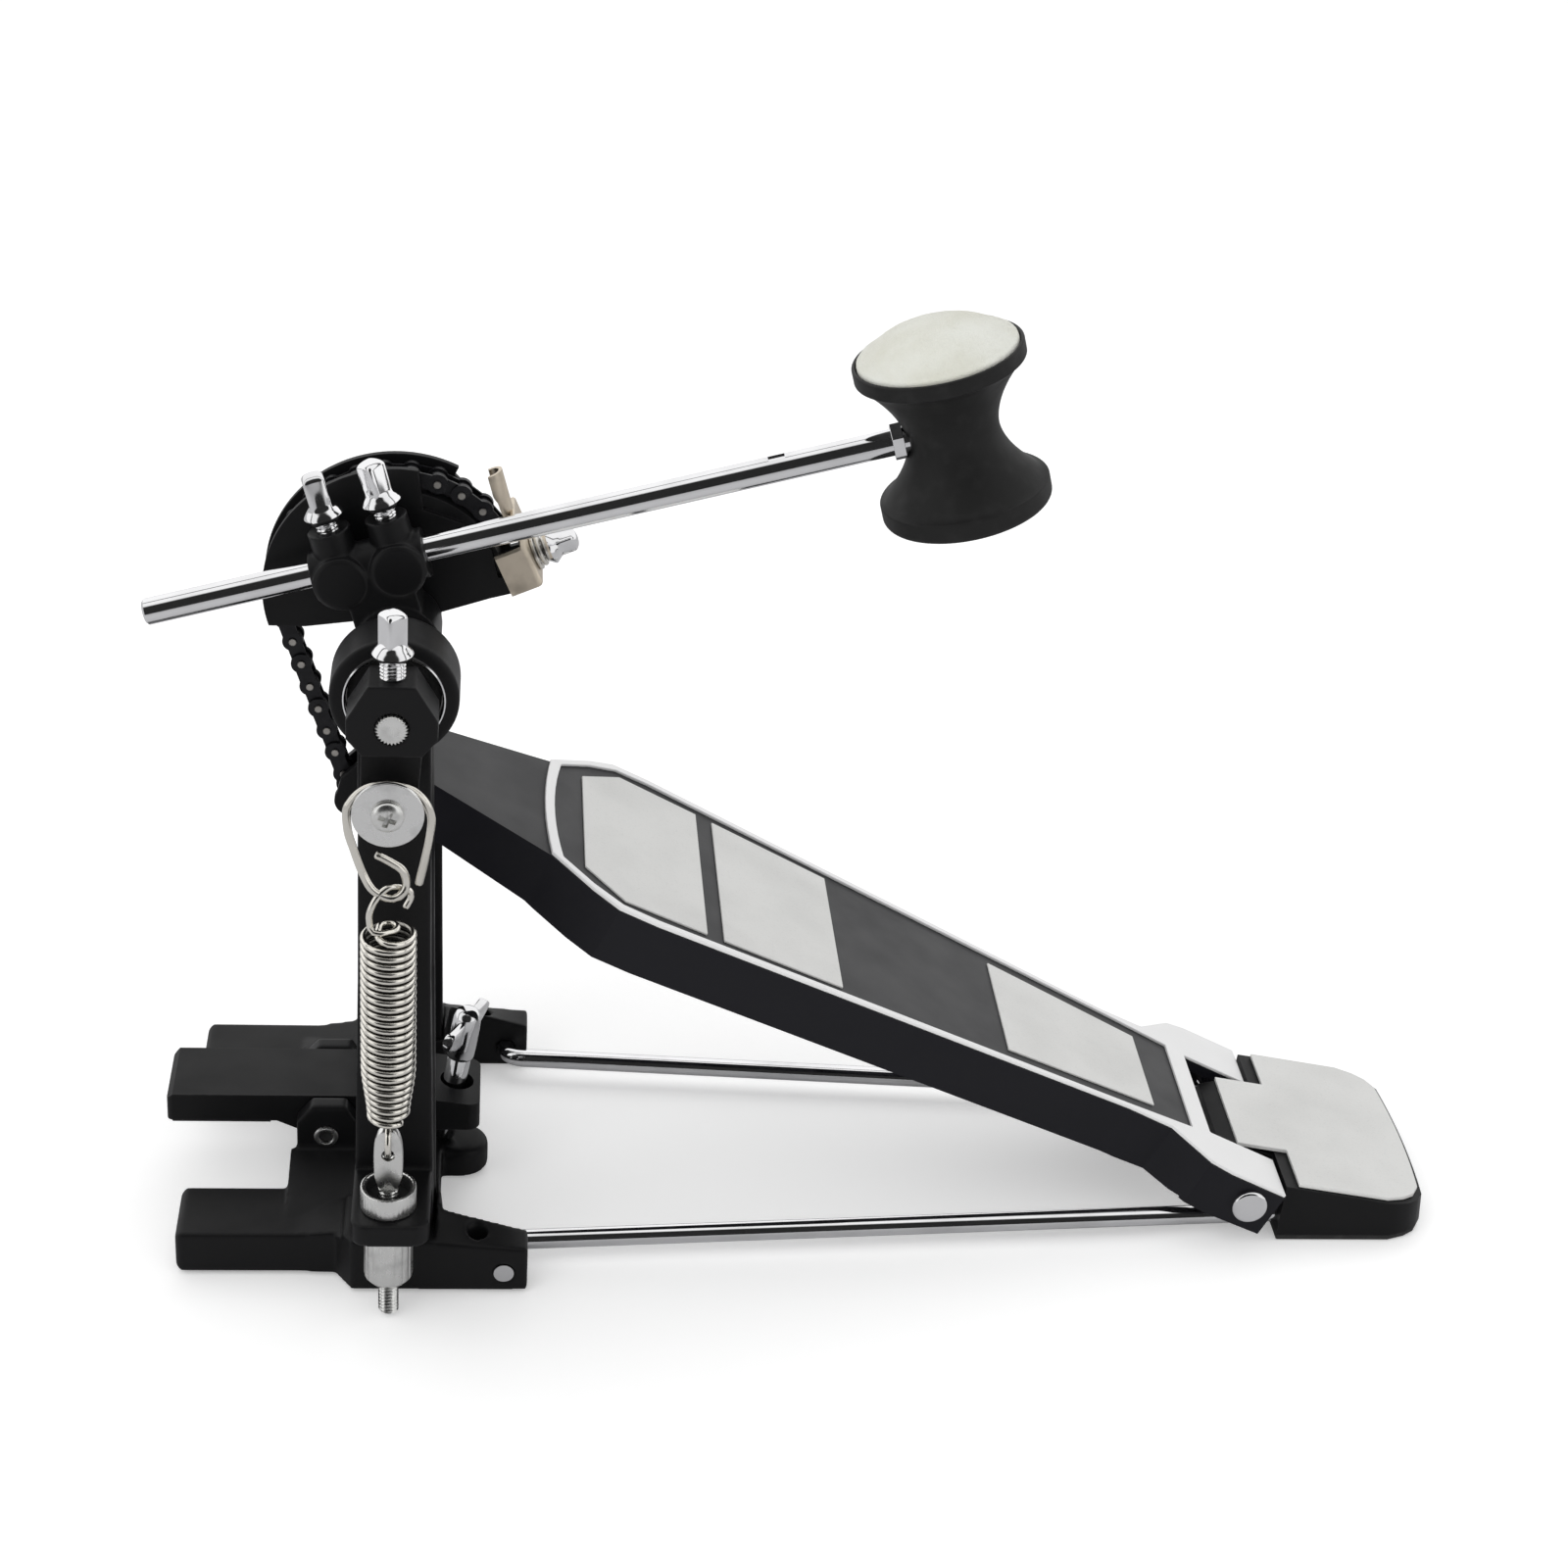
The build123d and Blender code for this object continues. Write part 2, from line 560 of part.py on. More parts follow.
def stirrup():
    """Bent wire that hangs on the crank and hooks the spring."""
    loop_r = 12.4
    loop_z = -4.2
    hook_r, hook_z = 4.6, -22.6
    right, left = Vector(loop_r, 0, loop_z), Vector(-loop_r, 0, loop_z)
    low_left = Vector(-hook_r, 0, hook_z)
    path = Line((8.6, 0, -24.6), (loop_r - 0.7, 0, loop_z - 6))
    path += Spline(Vector(loop_r - 0.7, 0, loop_z - 6), right, tangents=[(3.1, 0, 14.4), (0, 0, 1)])
    path += ThreePointArc(right, (0, 0, loop_z + loop_r), left)
    path += Spline(left, low_left, tangents=[(0, 0, -1), (0.3, 0, -1)])
    hook_end = (hook_r * cos(radians(20)), 0, hook_z + hook_r * sin(radians(20)))
    path += ThreePointArc(low_left, (0, 0, hook_z - hook_r), hook_end)
    return Location((CRANK_X, CRANK_Y, CRANK_Z)) * wire_along(path, WIRE_R)


def tension_spring():
    """Close-wound coils with the upper hook, as a plain tube and a hooked wire."""
    bottom, top = SPRING_Z
    tube = disc_z(SPRING_R + WIRE_R, bottom, top, 0, 0)
    tube -= disc_z(SPRING_R - WIRE_R, bottom - 1, top - 2.5, 0, 0)
    hook_z = 152.9
    path = Line((0, 0, top - 1.5), (0, 0, 146.0))
    path += Spline((0, 0, 146.0), (0, 4.9, hook_z - 1), tangents=[(0, 0, 1), (0, 0.2, 1)])
    path += ThreePointArc((0, 4.9, hook_z - 1), (0, 0, hook_z + 4.8), (0, -4.9, hook_z - 1))
    return Location((CRANK_X, CRANK_Y, 0)) * (tube + wire_along(path, WIRE_R))


def spring_lower_hook():
    """Tapered lower coils and the hook through the eyebolt."""
    cone = Location((CRANK_X, CRANK_Y, 73.4)) * Cone(5.2, 8.4, 7.0)
    loop = Location((CRANK_X, CRANK_Y, EYE_Z + 4.9), (0, 90, 0)) * Torus(4.6, WIRE_R)
    return cone + loop


def eyebolt():
    """Threaded eyebolt with a flattened eye."""
    eye = disc_y(4.9, -1.6, 1.6, 0, EYE_Z) - disc_y(2.2, -2, 2, 0, EYE_Z)
    neck = prism_y([(-4.6, EYE_Z - 1.5), (-3.0, 49.0), (3.0, 49.0), (4.6, EYE_Z - 1.5)], -1.6, 1.6)
    neck -= disc_y(3.4, -3, 3, 0, EYE_Z)
    return Location((CRANK_X, CRANK_Y, 0)) * (eye + neck + disc_z(3.2, 1.9, 51.0, 0, 0))


def tension_nut():
    """Long knurled nut under the lug."""
    nut = disc_z(7.6, 14.0, LUG_Z[0] - 0.05, CRANK_X, CRANK_Y)
    nut = chamfer(nut.edges().group_by(Axis.Z)[0], 2.0)
    return nut - disc_z(3.2 + RUNNING, 10, 40, CRANK_X, CRANK_Y)


def lock_nut():
    """Cup-shaped knurled nut on top of the lug."""
    bottom, top, floor = LUG_Z[1] + 0.05, LUG_Z[1] + 7.7, LUG_Z[1] + 2.6
    nut = disc_z(8.6, bottom, top, CRANK_X, CRANK_Y)
    nut = chamfer(nut.edges().filter_by(GeomType.CIRCLE), 0.5)
    nut -= disc_z(7.4, floor, top + 1, CRANK_X, CRANK_Y)
    return nut - disc_z(3.2 + RUNNING, 40, 60, CRANK_X, CRANK_Y)


# ---------------------------------------------------------------- hoop clamp
def clamp_jaw():
    """Lever that presses the hoop onto the fingers."""
    profile = [(-75.5, 26.8), (-75.5, 34.8), (-73.6, 36.8), (2, 36.8), (26.4, 33.2), (26.4, 23.6), (8, 23.6),
               (-14, 21.5), (-26, 20.5), (-34, 24.0), (-40, 26.8)]
    jaw = prism_y(profile, -13.75, 13.75)
    jaw = fillet(jaw.edges().filter_by(Axis.Z).group_by(Axis.X)[0], 2.0)
    jaw = fillet(jaw.edges().filter_by(Axis.Z).group_by(Axis.X)[-1], 4.0)
    slot = Location(WING_TIP, (0, WING_LEAN, 0)) * disc_z(5.6, 10, 40, 0.75, 0)
    return jaw - disc_y(3.0 + RUNNING, -20, 20, PIVOT_X, PIVOT_Z) - slot


def jaw_pad():
    """Rubber strip under the front of the jaw."""
    return block(-74.0, -42.0, -12.5, 12.5, 25.3, 26.8)


def wing_screw():
    """Wing screw that lifts the rear of the jaw off the base."""
    shank = disc_z(4.0, 0, 40.0, 0, 0)
    hub = disc_z(5.3, 34.0, 51.0, 0, 0)
    outline = Polyline((0, 38), (7, 38), (16.5, 45), (17, 51), (14.5, 52), (8, 49), (0, 49), close=True)
    wing = extrude(Plane.XZ * make_face(outline), 1.5, both=True)
    screw = shank + hub + Rot(0, 0, WING_TURN) * (wing + mirror(wing, about=Plane.YZ))
    return Location(WING_TIP, (0, WING_LEAN, 0)) * screw


# ---------------------------------------------------------------- footboard
# Local frame of the board: +X along the slope towards the heel, +Z out of the top face.
BOARD = Plane(origin=(0, 0, BOARD_TOP_Z),
              x_dir=(cos(radians(BOARD_SLOPE)), 0, -sin(radians(BOARD_SLOPE))),
              z_dir=(sin(radians(BOARD_SLOPE)), 0, cos(radians(BOARD_SLOPE))))
# Half widths of the board at plan positions along X, from toe to heel.
BOARD_EDGE = [(-8, 15.5), (10, 18.7), (47, 30.5), (60, 41.5), (68, 46.5), (80, 46.5), (197, 34), (240, 29.8),
              (255, 30.2), (267, 41.8), (274, 43.5), (293, 43.5)]
STRETCH = 1 / cos(radians(BOARD_SLOPE))     # plan position to distance along the slope
WINDOW_X, WINDOW_Y = 270.0, 23.0            # opening around the heel's tongue


def board_outline(edge, inset):
    """Closed outline in the board's own plane."""
    left = [(x * STRETCH, -(w - inset)) for x, w in edge]
    right = [(x * STRETCH, w - inset) for x, w in reversed(edge)]
    return left + right


def board_slab(edge, inset, top, bottom):
    """Slab between two depths measured from the board's top face."""
    face = make_face(Polyline(*board_outline(edge, inset), close=True))
    return Location((0, 0, bottom)) * extrude(face, top - bottom)


def footboard():
    """Hollow cast footboard: deck, side walls, cross ribs and hinge ears."""
    shell = board_slab(BOARD_EDGE, 0, 0, -BOARD_DEPTH)
    inner_edge = [(BOARD_EDGE[0][0] + WALL, BOARD_EDGE[0][1])] + BOARD_EDGE[1:-1] + [(300, 43.5)]
    shell -= board_slab(inner_edge, WALL, -WALL, -BOARD_DEPTH - 1)
    for x, w in ((47, 33), (104, 43), (150, 38), (197, 33), (250, 29)):
        rib = block(x * STRETCH - 1.5, x * STRETCH + 1.5, 1 - w, w - 1, -14, -WALL + 0.5)
        shell += rib & board_slab(BOARD_EDGE, 1, 0, -BOARD_DEPTH)
    shell -= block(WINDOW_X * STRETCH, 340 * STRETCH, -WINDOW_Y, WINDOW_Y, -40, 10)
    shell -= prism_y([(-30, -13.6), (50 * STRETCH, -BOARD_DEPTH), (50 * STRETCH, -30), (-30, -30)], -50, 50)
    shell -= prism_y([(245 * STRETCH, -BOARD_DEPTH), (265 * STRETCH, -17.2), (300 * STRETCH, -16.0),
                      (300 * STRETCH, -30), (245 * STRETCH, -30)], -50, 50)
    body = BOARD * shell
    body -= prism_y([(-40, 100), (-9, 100), (-9, 190), (-40, 190)], -30, 30)
    body -= prism_y([(250, 0), (250, 19.5), (264, 16.5), (271, 13), (275, 8), (276, 0)], -40.2, 40.2)
    eye = disc_y(7.3, 40.0, 43.5, HINGE_X, HINGE_Z)
    body += both_sides(eye)
    return body - disc_y(3.0 + RUNNING, -60, 60, HINGE_X, HINGE_Z)


TRIM_EDGE = [(47, 30.2), (60, 41.3), (68, 46.3), (80, 46.3), (197, 33.8), (240, 29.6), (255, 30.0),
             (267, 41.5), (274, 43.2), (293, 43.2)]
FRAME_EDGE = [(50.5, 30.0), (60, 38.2), (69, 43.3), (80, 43.5), (197, 31.6), (240, 27.4), (263.3, 24.6)]
TRIM_BOW = (45.0, 48.0)   # middle of the front edge, outside and inside


def bow(edge, middle, top, bottom):
    """Slab between the front corners of an outline and an arc bowed towards the toe."""
    x, half = edge[0]
    arc = ThreePointArc((x * STRETCH, half), (middle * STRETCH, 0), (x * STRETCH, -half))
    face = make_face(arc + Line(arc @ 1, arc @ 0))
    return Location((0, 0, bottom)) * extrude(face, top - bottom, dir=(0, 0, 1))


def board_trim():
    """Raised silver edge around the deck."""
    trim = board_slab(TRIM_EDGE, 0, 1.2, 0.02) + bow(TRIM_EDGE, TRIM_BOW[0], 1.2, 0.02)
    trim -= board_slab(FRAME_EDGE, 0, 2, -1) + bow(FRAME_EDGE, TRIM_BOW[1], 2, -1)
    trim -= block(WINDOW_X * STRETCH, 340 * STRETCH, -WINDOW_Y, WINDOW_Y, -2, 3)
    return BOARD * trim


INSERTS = [
    [(57.5, 29), (70, 39.8), (96, 38.0)],
    [(101.5, 37.4), (140.5, 34.0)],
    [(197.8, 26.4), (250.3, 20.6)]]


def board_inserts():
    """Light grip panels let onto the deck."""
    panels = Part()
    for edge in INSERTS:
        panels += board_slab(edge, 0, 0.8, 0.02)
    return BOARD * panels


def toe_clevis():
    """Fork on the board's toe that holds the chain's last link."""
    tx, tz = run_pin(RUN_LINKS)
    toe, back = -9.0, -10.2
    cheek = disc_y(5.2, 4.4, 7.0, tx, tz)
    web = [(tx - 4.6, tz + 2), (tx - 3.0, tz + 8), (back, tz + 16), (back, tz - 2), (tx, tz - 5.1)]
    cheek += prism_y(web, 4.4, 7.0)
    base = prism_y([(back, tz - 2), (back, tz + 16), (toe, tz + 16), (toe, tz - 2)], -7.0, 7.0)
    return both_sides(cheek) + base - disc_y(PIN_R, -9, 9, tx, tz)


def toe_pin():
    """Pin through the fork and the chain's last roller."""
    tx, tz = run_pin(RUN_LINKS)
    return disc_y(PIN_R, -7.6, 7.6, tx, tz)


# ---------------------------------------------------------------- export
PARTS = {
    "base_casting": base_casting, "far_post": lambda: post(60.6), "near_post": near_post,
    "post_bolts": post_bolts, "foot_pads": foot_pads, "clamp_pivot_pin": clamp_pivot_pin,
    "radius_rods": radius_rods, "heel_plate": heel_plate, "heel_cover": heel_cover, "heel_pad": heel_pad,
    "hinge_pin": hinge_pin, "bearing_outer_rings": lambda: bearing_rings(BEARING_R, 11.0),
    "bearing_inner_rings": lambda: bearing_rings(9.0, AXLE_R), "bearing_balls": bearing_balls,
    "axle": axle, "cam_wheel": cam_wheel, "chain_bracket": chain_bracket, "chain_bolt": chain_bolt,
    "chain_bolt_washer": chain_bolt_washer, "chain_fixed": chain_fixed, "chain_run": chain_run,
    "beater_hub": beater_hub, "hub_screw_rear": lambda: hub_screw(0, 10),
    "hub_screw_front": lambda: hub_screw(1, 45),
    "beater_rod": beater_rod, "beater_head": beater_head, "felt_pad": felt_pad, "head_nut": head_nut,
    "rocker": rocker, "rocker_screw": rocker_screw, "crank_screw": crank_screw,
    "crank_washer": crank_washer, "stirrup": stirrup,
    "tension_spring": tension_spring, "spring_lower_hook": spring_lower_hook, "eyebolt": eyebolt,
    "tension_nut": tension_nut, "lock_nut": lock_nut, "clamp_jaw": clamp_jaw, "jaw_pad": jaw_pad,
    "wing_screw": wing_screw, "footboard": footboard, "board_trim": board_trim,
    "board_inserts": board_inserts, "toe_clevis": toe_clevis, "toe_pin": toe_pin,
}

os.makedirs("parts", exist_ok=True)
for node, build in PARTS.items():
    save(node, build())
for number in range(1, FREE_LINKS + 1):
    save("chain_link_" + str(number), chain_link(number))
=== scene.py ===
import json
from math import cos, pi, radians, sin, tau

import bpy
from mathutils import Matrix, Vector, noise


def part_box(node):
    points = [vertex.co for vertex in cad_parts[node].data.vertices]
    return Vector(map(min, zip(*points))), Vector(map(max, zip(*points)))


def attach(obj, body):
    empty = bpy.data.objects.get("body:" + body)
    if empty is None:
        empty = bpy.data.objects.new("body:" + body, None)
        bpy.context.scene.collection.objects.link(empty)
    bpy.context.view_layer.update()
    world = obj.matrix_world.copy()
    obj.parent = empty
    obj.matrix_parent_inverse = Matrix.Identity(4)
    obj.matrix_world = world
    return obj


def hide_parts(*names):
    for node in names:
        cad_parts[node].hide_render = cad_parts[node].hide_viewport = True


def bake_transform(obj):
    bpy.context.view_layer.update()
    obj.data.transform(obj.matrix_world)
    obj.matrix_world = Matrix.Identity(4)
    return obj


# Bass drum pedal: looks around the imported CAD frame. Metres, +Z up, +X towards the heel, -Y the spring side.

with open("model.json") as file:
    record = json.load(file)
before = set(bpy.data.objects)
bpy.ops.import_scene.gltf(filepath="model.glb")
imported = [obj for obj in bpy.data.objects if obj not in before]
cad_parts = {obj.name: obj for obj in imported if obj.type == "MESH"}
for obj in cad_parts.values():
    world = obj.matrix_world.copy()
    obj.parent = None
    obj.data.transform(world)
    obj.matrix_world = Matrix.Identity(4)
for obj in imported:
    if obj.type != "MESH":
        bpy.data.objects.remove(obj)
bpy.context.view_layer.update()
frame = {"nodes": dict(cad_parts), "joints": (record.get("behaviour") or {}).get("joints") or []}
MM = 0.001
JOINTS = {joint["name"]: joint for joint in frame["joints"]}
NODES = frame["nodes"]


def pivot(joint):
    """A joint's pivot, in millimetres."""
    return Vector(JOINTS[joint]["pos_m"]) / MM


def axis(joint):
    return Vector(JOINTS[joint]["axis"])


def span(node):
    """Lowest and highest corner of a CAD node, in millimetres."""
    low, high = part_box(node)
    return Vector(low) / MM, Vector(high) / MM


# ---------------------------------------------------------------- camera, light and floor
AZIMUTH = -6.35            # camera angles, degrees
ELEVATION = 28.59
ROLL = 4.11
TARGET = Vector((0.121, 0.0, 0.149))
DISTANCE = 0.955
SENSOR = 36.0
LENS = 68.82
FILL = 0.72                # even light on dull surfaces


def camera_axes():
    """Right, up and forward of the rolled camera."""
    a, e, r = radians(AZIMUTH), radians(ELEVATION), radians(ROLL)
    right = Vector((cos(a), sin(a), 0))
    forward = Vector((-sin(a) * cos(e), cos(a) * cos(e), -sin(e)))
    up = right.cross(forward)
    return cos(r) * right + sin(r) * up, cos(r) * up - sin(r) * right, forward


def make_camera():
    right, up, forward = camera_axes()
    data = bpy.data.cameras.new("camera")
    data.sensor_width = SENSOR
    data.lens = LENS
    data.clip_start = 0.01
    camera = bpy.data.objects.new("camera", data)
    turn = Matrix((right, up, -forward)).transposed()
    camera.matrix_world = Matrix.Translation(TARGET - forward * DISTANCE) @ turn.to_4x4()
    bpy.context.scene.collection.objects.link(camera)
    bpy.context.scene.camera = camera


def area_light(name, place, aim, size, power):
    """Soft square lamp at a place, turned to a point."""
    data = bpy.data.lights.new(name, "AREA")
    data.shape = "SQUARE"
    data.size = size
    data.energy = power
    lamp = bpy.data.objects.new(name, data)
    lamp.visible_glossy = False
    place, aim = Vector(place), Vector(aim)
    lamp.matrix_world = Matrix.Translation(place) @ (place - aim).to_track_quat("Z", "Y").to_matrix().to_4x4()
    bpy.context.scene.collection.objects.link(lamp)
    return lamp


def make_world():
    """White studio for the camera and for diffuse light. Shiny parts also see a dark room behind the camera."""
    world = bpy.data.worlds.new("studio")
    bpy.context.scene.world = world
    world.use_nodes = True
    tree = world.node_tree
    tree.nodes.clear()
    out = tree.nodes.new("ShaderNodeOutputWorld")
    light = tree.nodes.new("ShaderNodeBackground")
    tree.links.new(light.outputs[0], out.inputs[0])
    place = tree.nodes.new("ShaderNodeTexCoord")
    towards = tree.nodes.new("ShaderNodeVectorMath")
    towards.operation = "DOT_PRODUCT"
    towards.inputs[1].default_value = -camera_axes()[2]
    tree.links.new(place.outputs["Generated"], towards.inputs[0])
    room = tree.nodes.new("ShaderNodeValToRGB")
    tree.links.new(towards.outputs["Value"], room.inputs[0])
    bands = room.color_ramp
    bands.elements[0].position = 0.16
    bands.elements[0].color = (1.0, 1.0, 1.0, 1)
    bands.elements[1].position = 0.20
    bands.elements[1].color = (0.08, 0.08, 0.085, 1)
    for position, level in ((0.27, 0.08), (0.31, 0.95), (0.72, 0.9), (0.80, 0.02)):
        stop = bands.elements.new(position)
        stop.color = (level, level, level, 1)
    rays = tree.nodes.new("ShaderNodeLightPath")
    plain = tree.nodes.new("ShaderNodeMix")
    plain.data_type = "RGBA"
    plain.inputs["A"].default_value = (FILL, FILL, FILL, 1)
    plain.inputs["B"].default_value = (1, 1, 1, 1)
    tree.links.new(rays.outputs["Is Camera Ray"], plain.inputs["Factor"])
    choose = tree.nodes.new("ShaderNodeMix")
    choose.data_type = "RGBA"
    tree.links.new(rays.outputs["Is Glossy Ray"], choose.inputs["Factor"])
    tree.links.new(plain.outputs["Result"], choose.inputs["A"])
    tree.links.new(room.outputs["Color"], choose.inputs["B"])
    tree.links.new(choose.outputs["Result"], light.inputs["Color"])
    light.inputs["Strength"].default_value = 1.0


def make_floor():
    """Plain pale floor; reflections see it darker than the camera does."""
    half, drop = 3.0, 0.0003
    mesh = bpy.data.meshes.new("floor")
    corners = [(-half, -half, -drop), (half, -half, -drop), (half, half, -drop), (-half, half, -drop)]
    mesh.from_pydata(corners, [], [(0, 1, 2, 3)])
    floor = bpy.data.objects.new("floor", mesh)
    bpy.context.scene.collection.objects.link(floor)
    shader = Shader("floor_white", (0.93, 0.93, 0.93), 0.6)
    rays = shader.add("ShaderNodeLightPath")
    shader.link(rays.outputs["Is Glossy Ray"],
                shader.mix_input("Base Color", (0.93, 0.93, 0.93), (0.55, 0.55, 0.56)))
    shader.put("Emission Color", (1, 1, 1, 1))
    shader.vary("Emission Strength", shader.remap(rays.outputs["Is Glossy Ray"], 0, 1, 0.3, 0.0))
    mesh.materials.append(shader.material)


# ---------------------------------------------------------------- material kit
class Shader:
    """One material: a Principled surface and short calls that add nodes to it. Patterns use object space, metres."""

    def __init__(self, name, color, roughness, metallic=0.0):
        self.material = bpy.data.materials.new(name)
        self.material.use_nodes = True
        self.tree = self.material.node_tree
        self.tree.nodes.clear()
        out = self.add("ShaderNodeOutputMaterial")
        self.surface = self.add("ShaderNodeBsdfPrincipled")
        self.link(self.surface.outputs[0], out.inputs[0])
        self.put("Base Color", (*color, 1))
        self.put("Roughness", roughness)
        self.put("Metallic", metallic)
        self.place = self.add("ShaderNodeTexCoord").outputs["Object"]
        self.material.diffuse_color = (*color, 1)

    def add(self, kind, **settings):
        node = self.tree.nodes.new(kind)
        for name, value in settings.items():
            setattr(node, name, value)
        return node

    def link(self, output, target):
        self.tree.links.new(output, target)

    def put(self, name, value):
        self.surface.inputs[name].default_value = value

    def noise(self, scale, detail=3.0, stretch=(1, 1, 1), sharpness=0.5):
        """Cloudy value between 0 and 1; scale is in patterns per metre."""
        squeeze = self.add("ShaderNodeMapping")
        squeeze.inputs["Scale"].default_value = stretch
        self.link(self.place, squeeze.inputs["Vector"])
        cloud = self.add("ShaderNodeTexNoise")
        self.link(squeeze.outputs[0], cloud.inputs["Vector"])
        cloud.inputs["Scale"].default_value = scale
        cloud.inputs["Detail"].default_value = detail
        cloud.inputs["Roughness"].default_value = sharpness
        return cloud.outputs["Fac"]

    def cells(self, scale, feature="F1"):
        cell = self.add("ShaderNodeTexVoronoi", feature=feature)
        self.link(self.place, cell.inputs["Vector"])
        cell.inputs["Scale"].default_value = scale
        return cell.outputs["Distance"]

    def remap(self, value, low, high, to_low, to_high):
        """Straight-line map of a value, held at both ends."""
        node = self.add("ShaderNodeMapRange")
        self.link(value, node.inputs["Value"])
        for name, number in (("From Min", low), ("From Max", high), ("To Min", to_low), ("To Max", to_high)):
            node.inputs[name].default_value = number
        return node.outputs[0]

    def math(self, operation, a, b=0.0):
        node = self.add("ShaderNodeMath", operation=operation)
        for socket, value in ((node.inputs[0], a), (node.inputs[1], b)):
            if isinstance(value, (int, float)):
                socket.default_value = value
            else:
                self.link(value, socket)
        return node.outputs[0]

    def mix_input(self, name, color_a, color_b):
        """Mixes two colours into a surface input and returns the factor socket."""
        node = self.add("ShaderNodeMix", data_type="RGBA")
        node.inputs["A"].default_value = (*color_a, 1)
        node.inputs["B"].default_value = (*color_b, 1)
        self.link(node.outputs["Result"], self.surface.inputs[name])
        return node.inputs["Factor"]

    def vary(self, name, value):
        self.link(value, self.surface.inputs[name])

    def bump(self, height, depth, strength=1.0):
        """Adds a bump; depth is the height of a full step, in metres. Bumps stack."""
        node = self.add("ShaderNodeBump")
        node.inputs["Strength"].default_value = strength
        node.inputs["Distance"].default_value = depth
        self.link(height, node.inputs["Height"])
        below = self.surface.inputs["Normal"]
        if below.is_linked:
            self.link(below.links[0].from_socket, node.inputs["Normal"])
        self.link(node.outputs[0], below)

    def edges(self, radius):
        """About 1 along convex and concave edges, 0 on open faces."""
        soft = self.add("ShaderNodeBevel", samples=4)
        soft.inputs["Radius"].default_value = radius
        flat = self.add("ShaderNodeNewGeometry")
        dot = self.add("ShaderNodeVectorMath", operation="DOT_PRODUCT")
        self.link(soft.outputs[0], dot.inputs[0])
        self.link(flat.outputs["Normal"], dot.inputs[1])
        return self.remap(dot.outputs["Value"], 0.99, 0.80, 0.0, 1.0)


def cast_black(name, color, roughness, grain=0.00004):
    """Powder-coated casting: fine grain, cloudy gloss, edges painted a little lighter as a painted highlight."""
    shader = Shader(name, color, roughness)
    cloud = shader.noise(60, 4)
    fine = shader.noise(2600, 2)
    shader.vary("Roughness", shader.remap(cloud, 0.3, 0.7, roughness - 0.06, roughness + 0.08))
    # painted highlight: the edges get a lighter colour, broken up by noise
    edge_highlight_color = tuple(min(1.0, 2.2 * c + 0.012) for c in color)
    edge_highlight = shader.math("MULTIPLY", shader.edges(0.0009), shader.remap(shader.noise(350, 4), 0.35, 0.65, 0.15, 0.9))
    shader.link(edge_highlight, shader.mix_input("Base Color", color, edge_highlight_color))
    shader.bump(fine, grain, 0.5)
    shader.put("Specular IOR Level", 0.2)
    return shader.material


def board_black(side, top):
    """Satin black of the footboard; its upper faces are painted lighter, as a painted reflection of the bright room
    above.
    """
    shader = Shader("board_black", side, 0.40)
    facing = shader.add("ShaderNodeSeparateXYZ")
    shader.link(shader.add("ShaderNodeTexCoord").outputs["Normal"], facing.inputs[0])
    # painted reflection: faces turned upward get the lighter top colour
    upward = shader.remap(facing.outputs["Z"], 0.55, 0.85, 0.0, 1.0)
    uneven = shader.remap(shader.noise(40, 4), 0.3, 0.7, 0.8, 1.0)
    shader.link(shader.math("MULTIPLY", upward, uneven), shader.mix_input("Base Color", side, top))
    shader.vary("Roughness", shader.remap(shader.noise(60, 4), 0.3, 0.7, 0.34, 0.48))
    shader.bump(shader.noise(2600, 2), 0.00004, 0.5)
    shader.put("Specular IOR Level", 0.2)
    return shader.material


def polished(name, color, roughness, scratch=0.25):
    """Chrome or nickel: nearly a mirror, with hairline scratches and faint haze."""
    shader = Shader(name, color, roughness, 1.0)
    haze = shader.noise(90, 5)
    hair = shader.noise(900, 2, (1, 1, 0.03))
    shader.vary("Roughness", shader.remap(haze, 0.35, 0.75, roughness, roughness + 0.07))
    shader.bump(hair, 0.000004, scratch)
    dull = tuple(0.82 * c for c in color)
    shader.link(shader.remap(shader.noise(45, 3), 0.45, 0.75, 0.0, 1.0), shader.mix_input("Base Color", color, dull))
    return shader.material


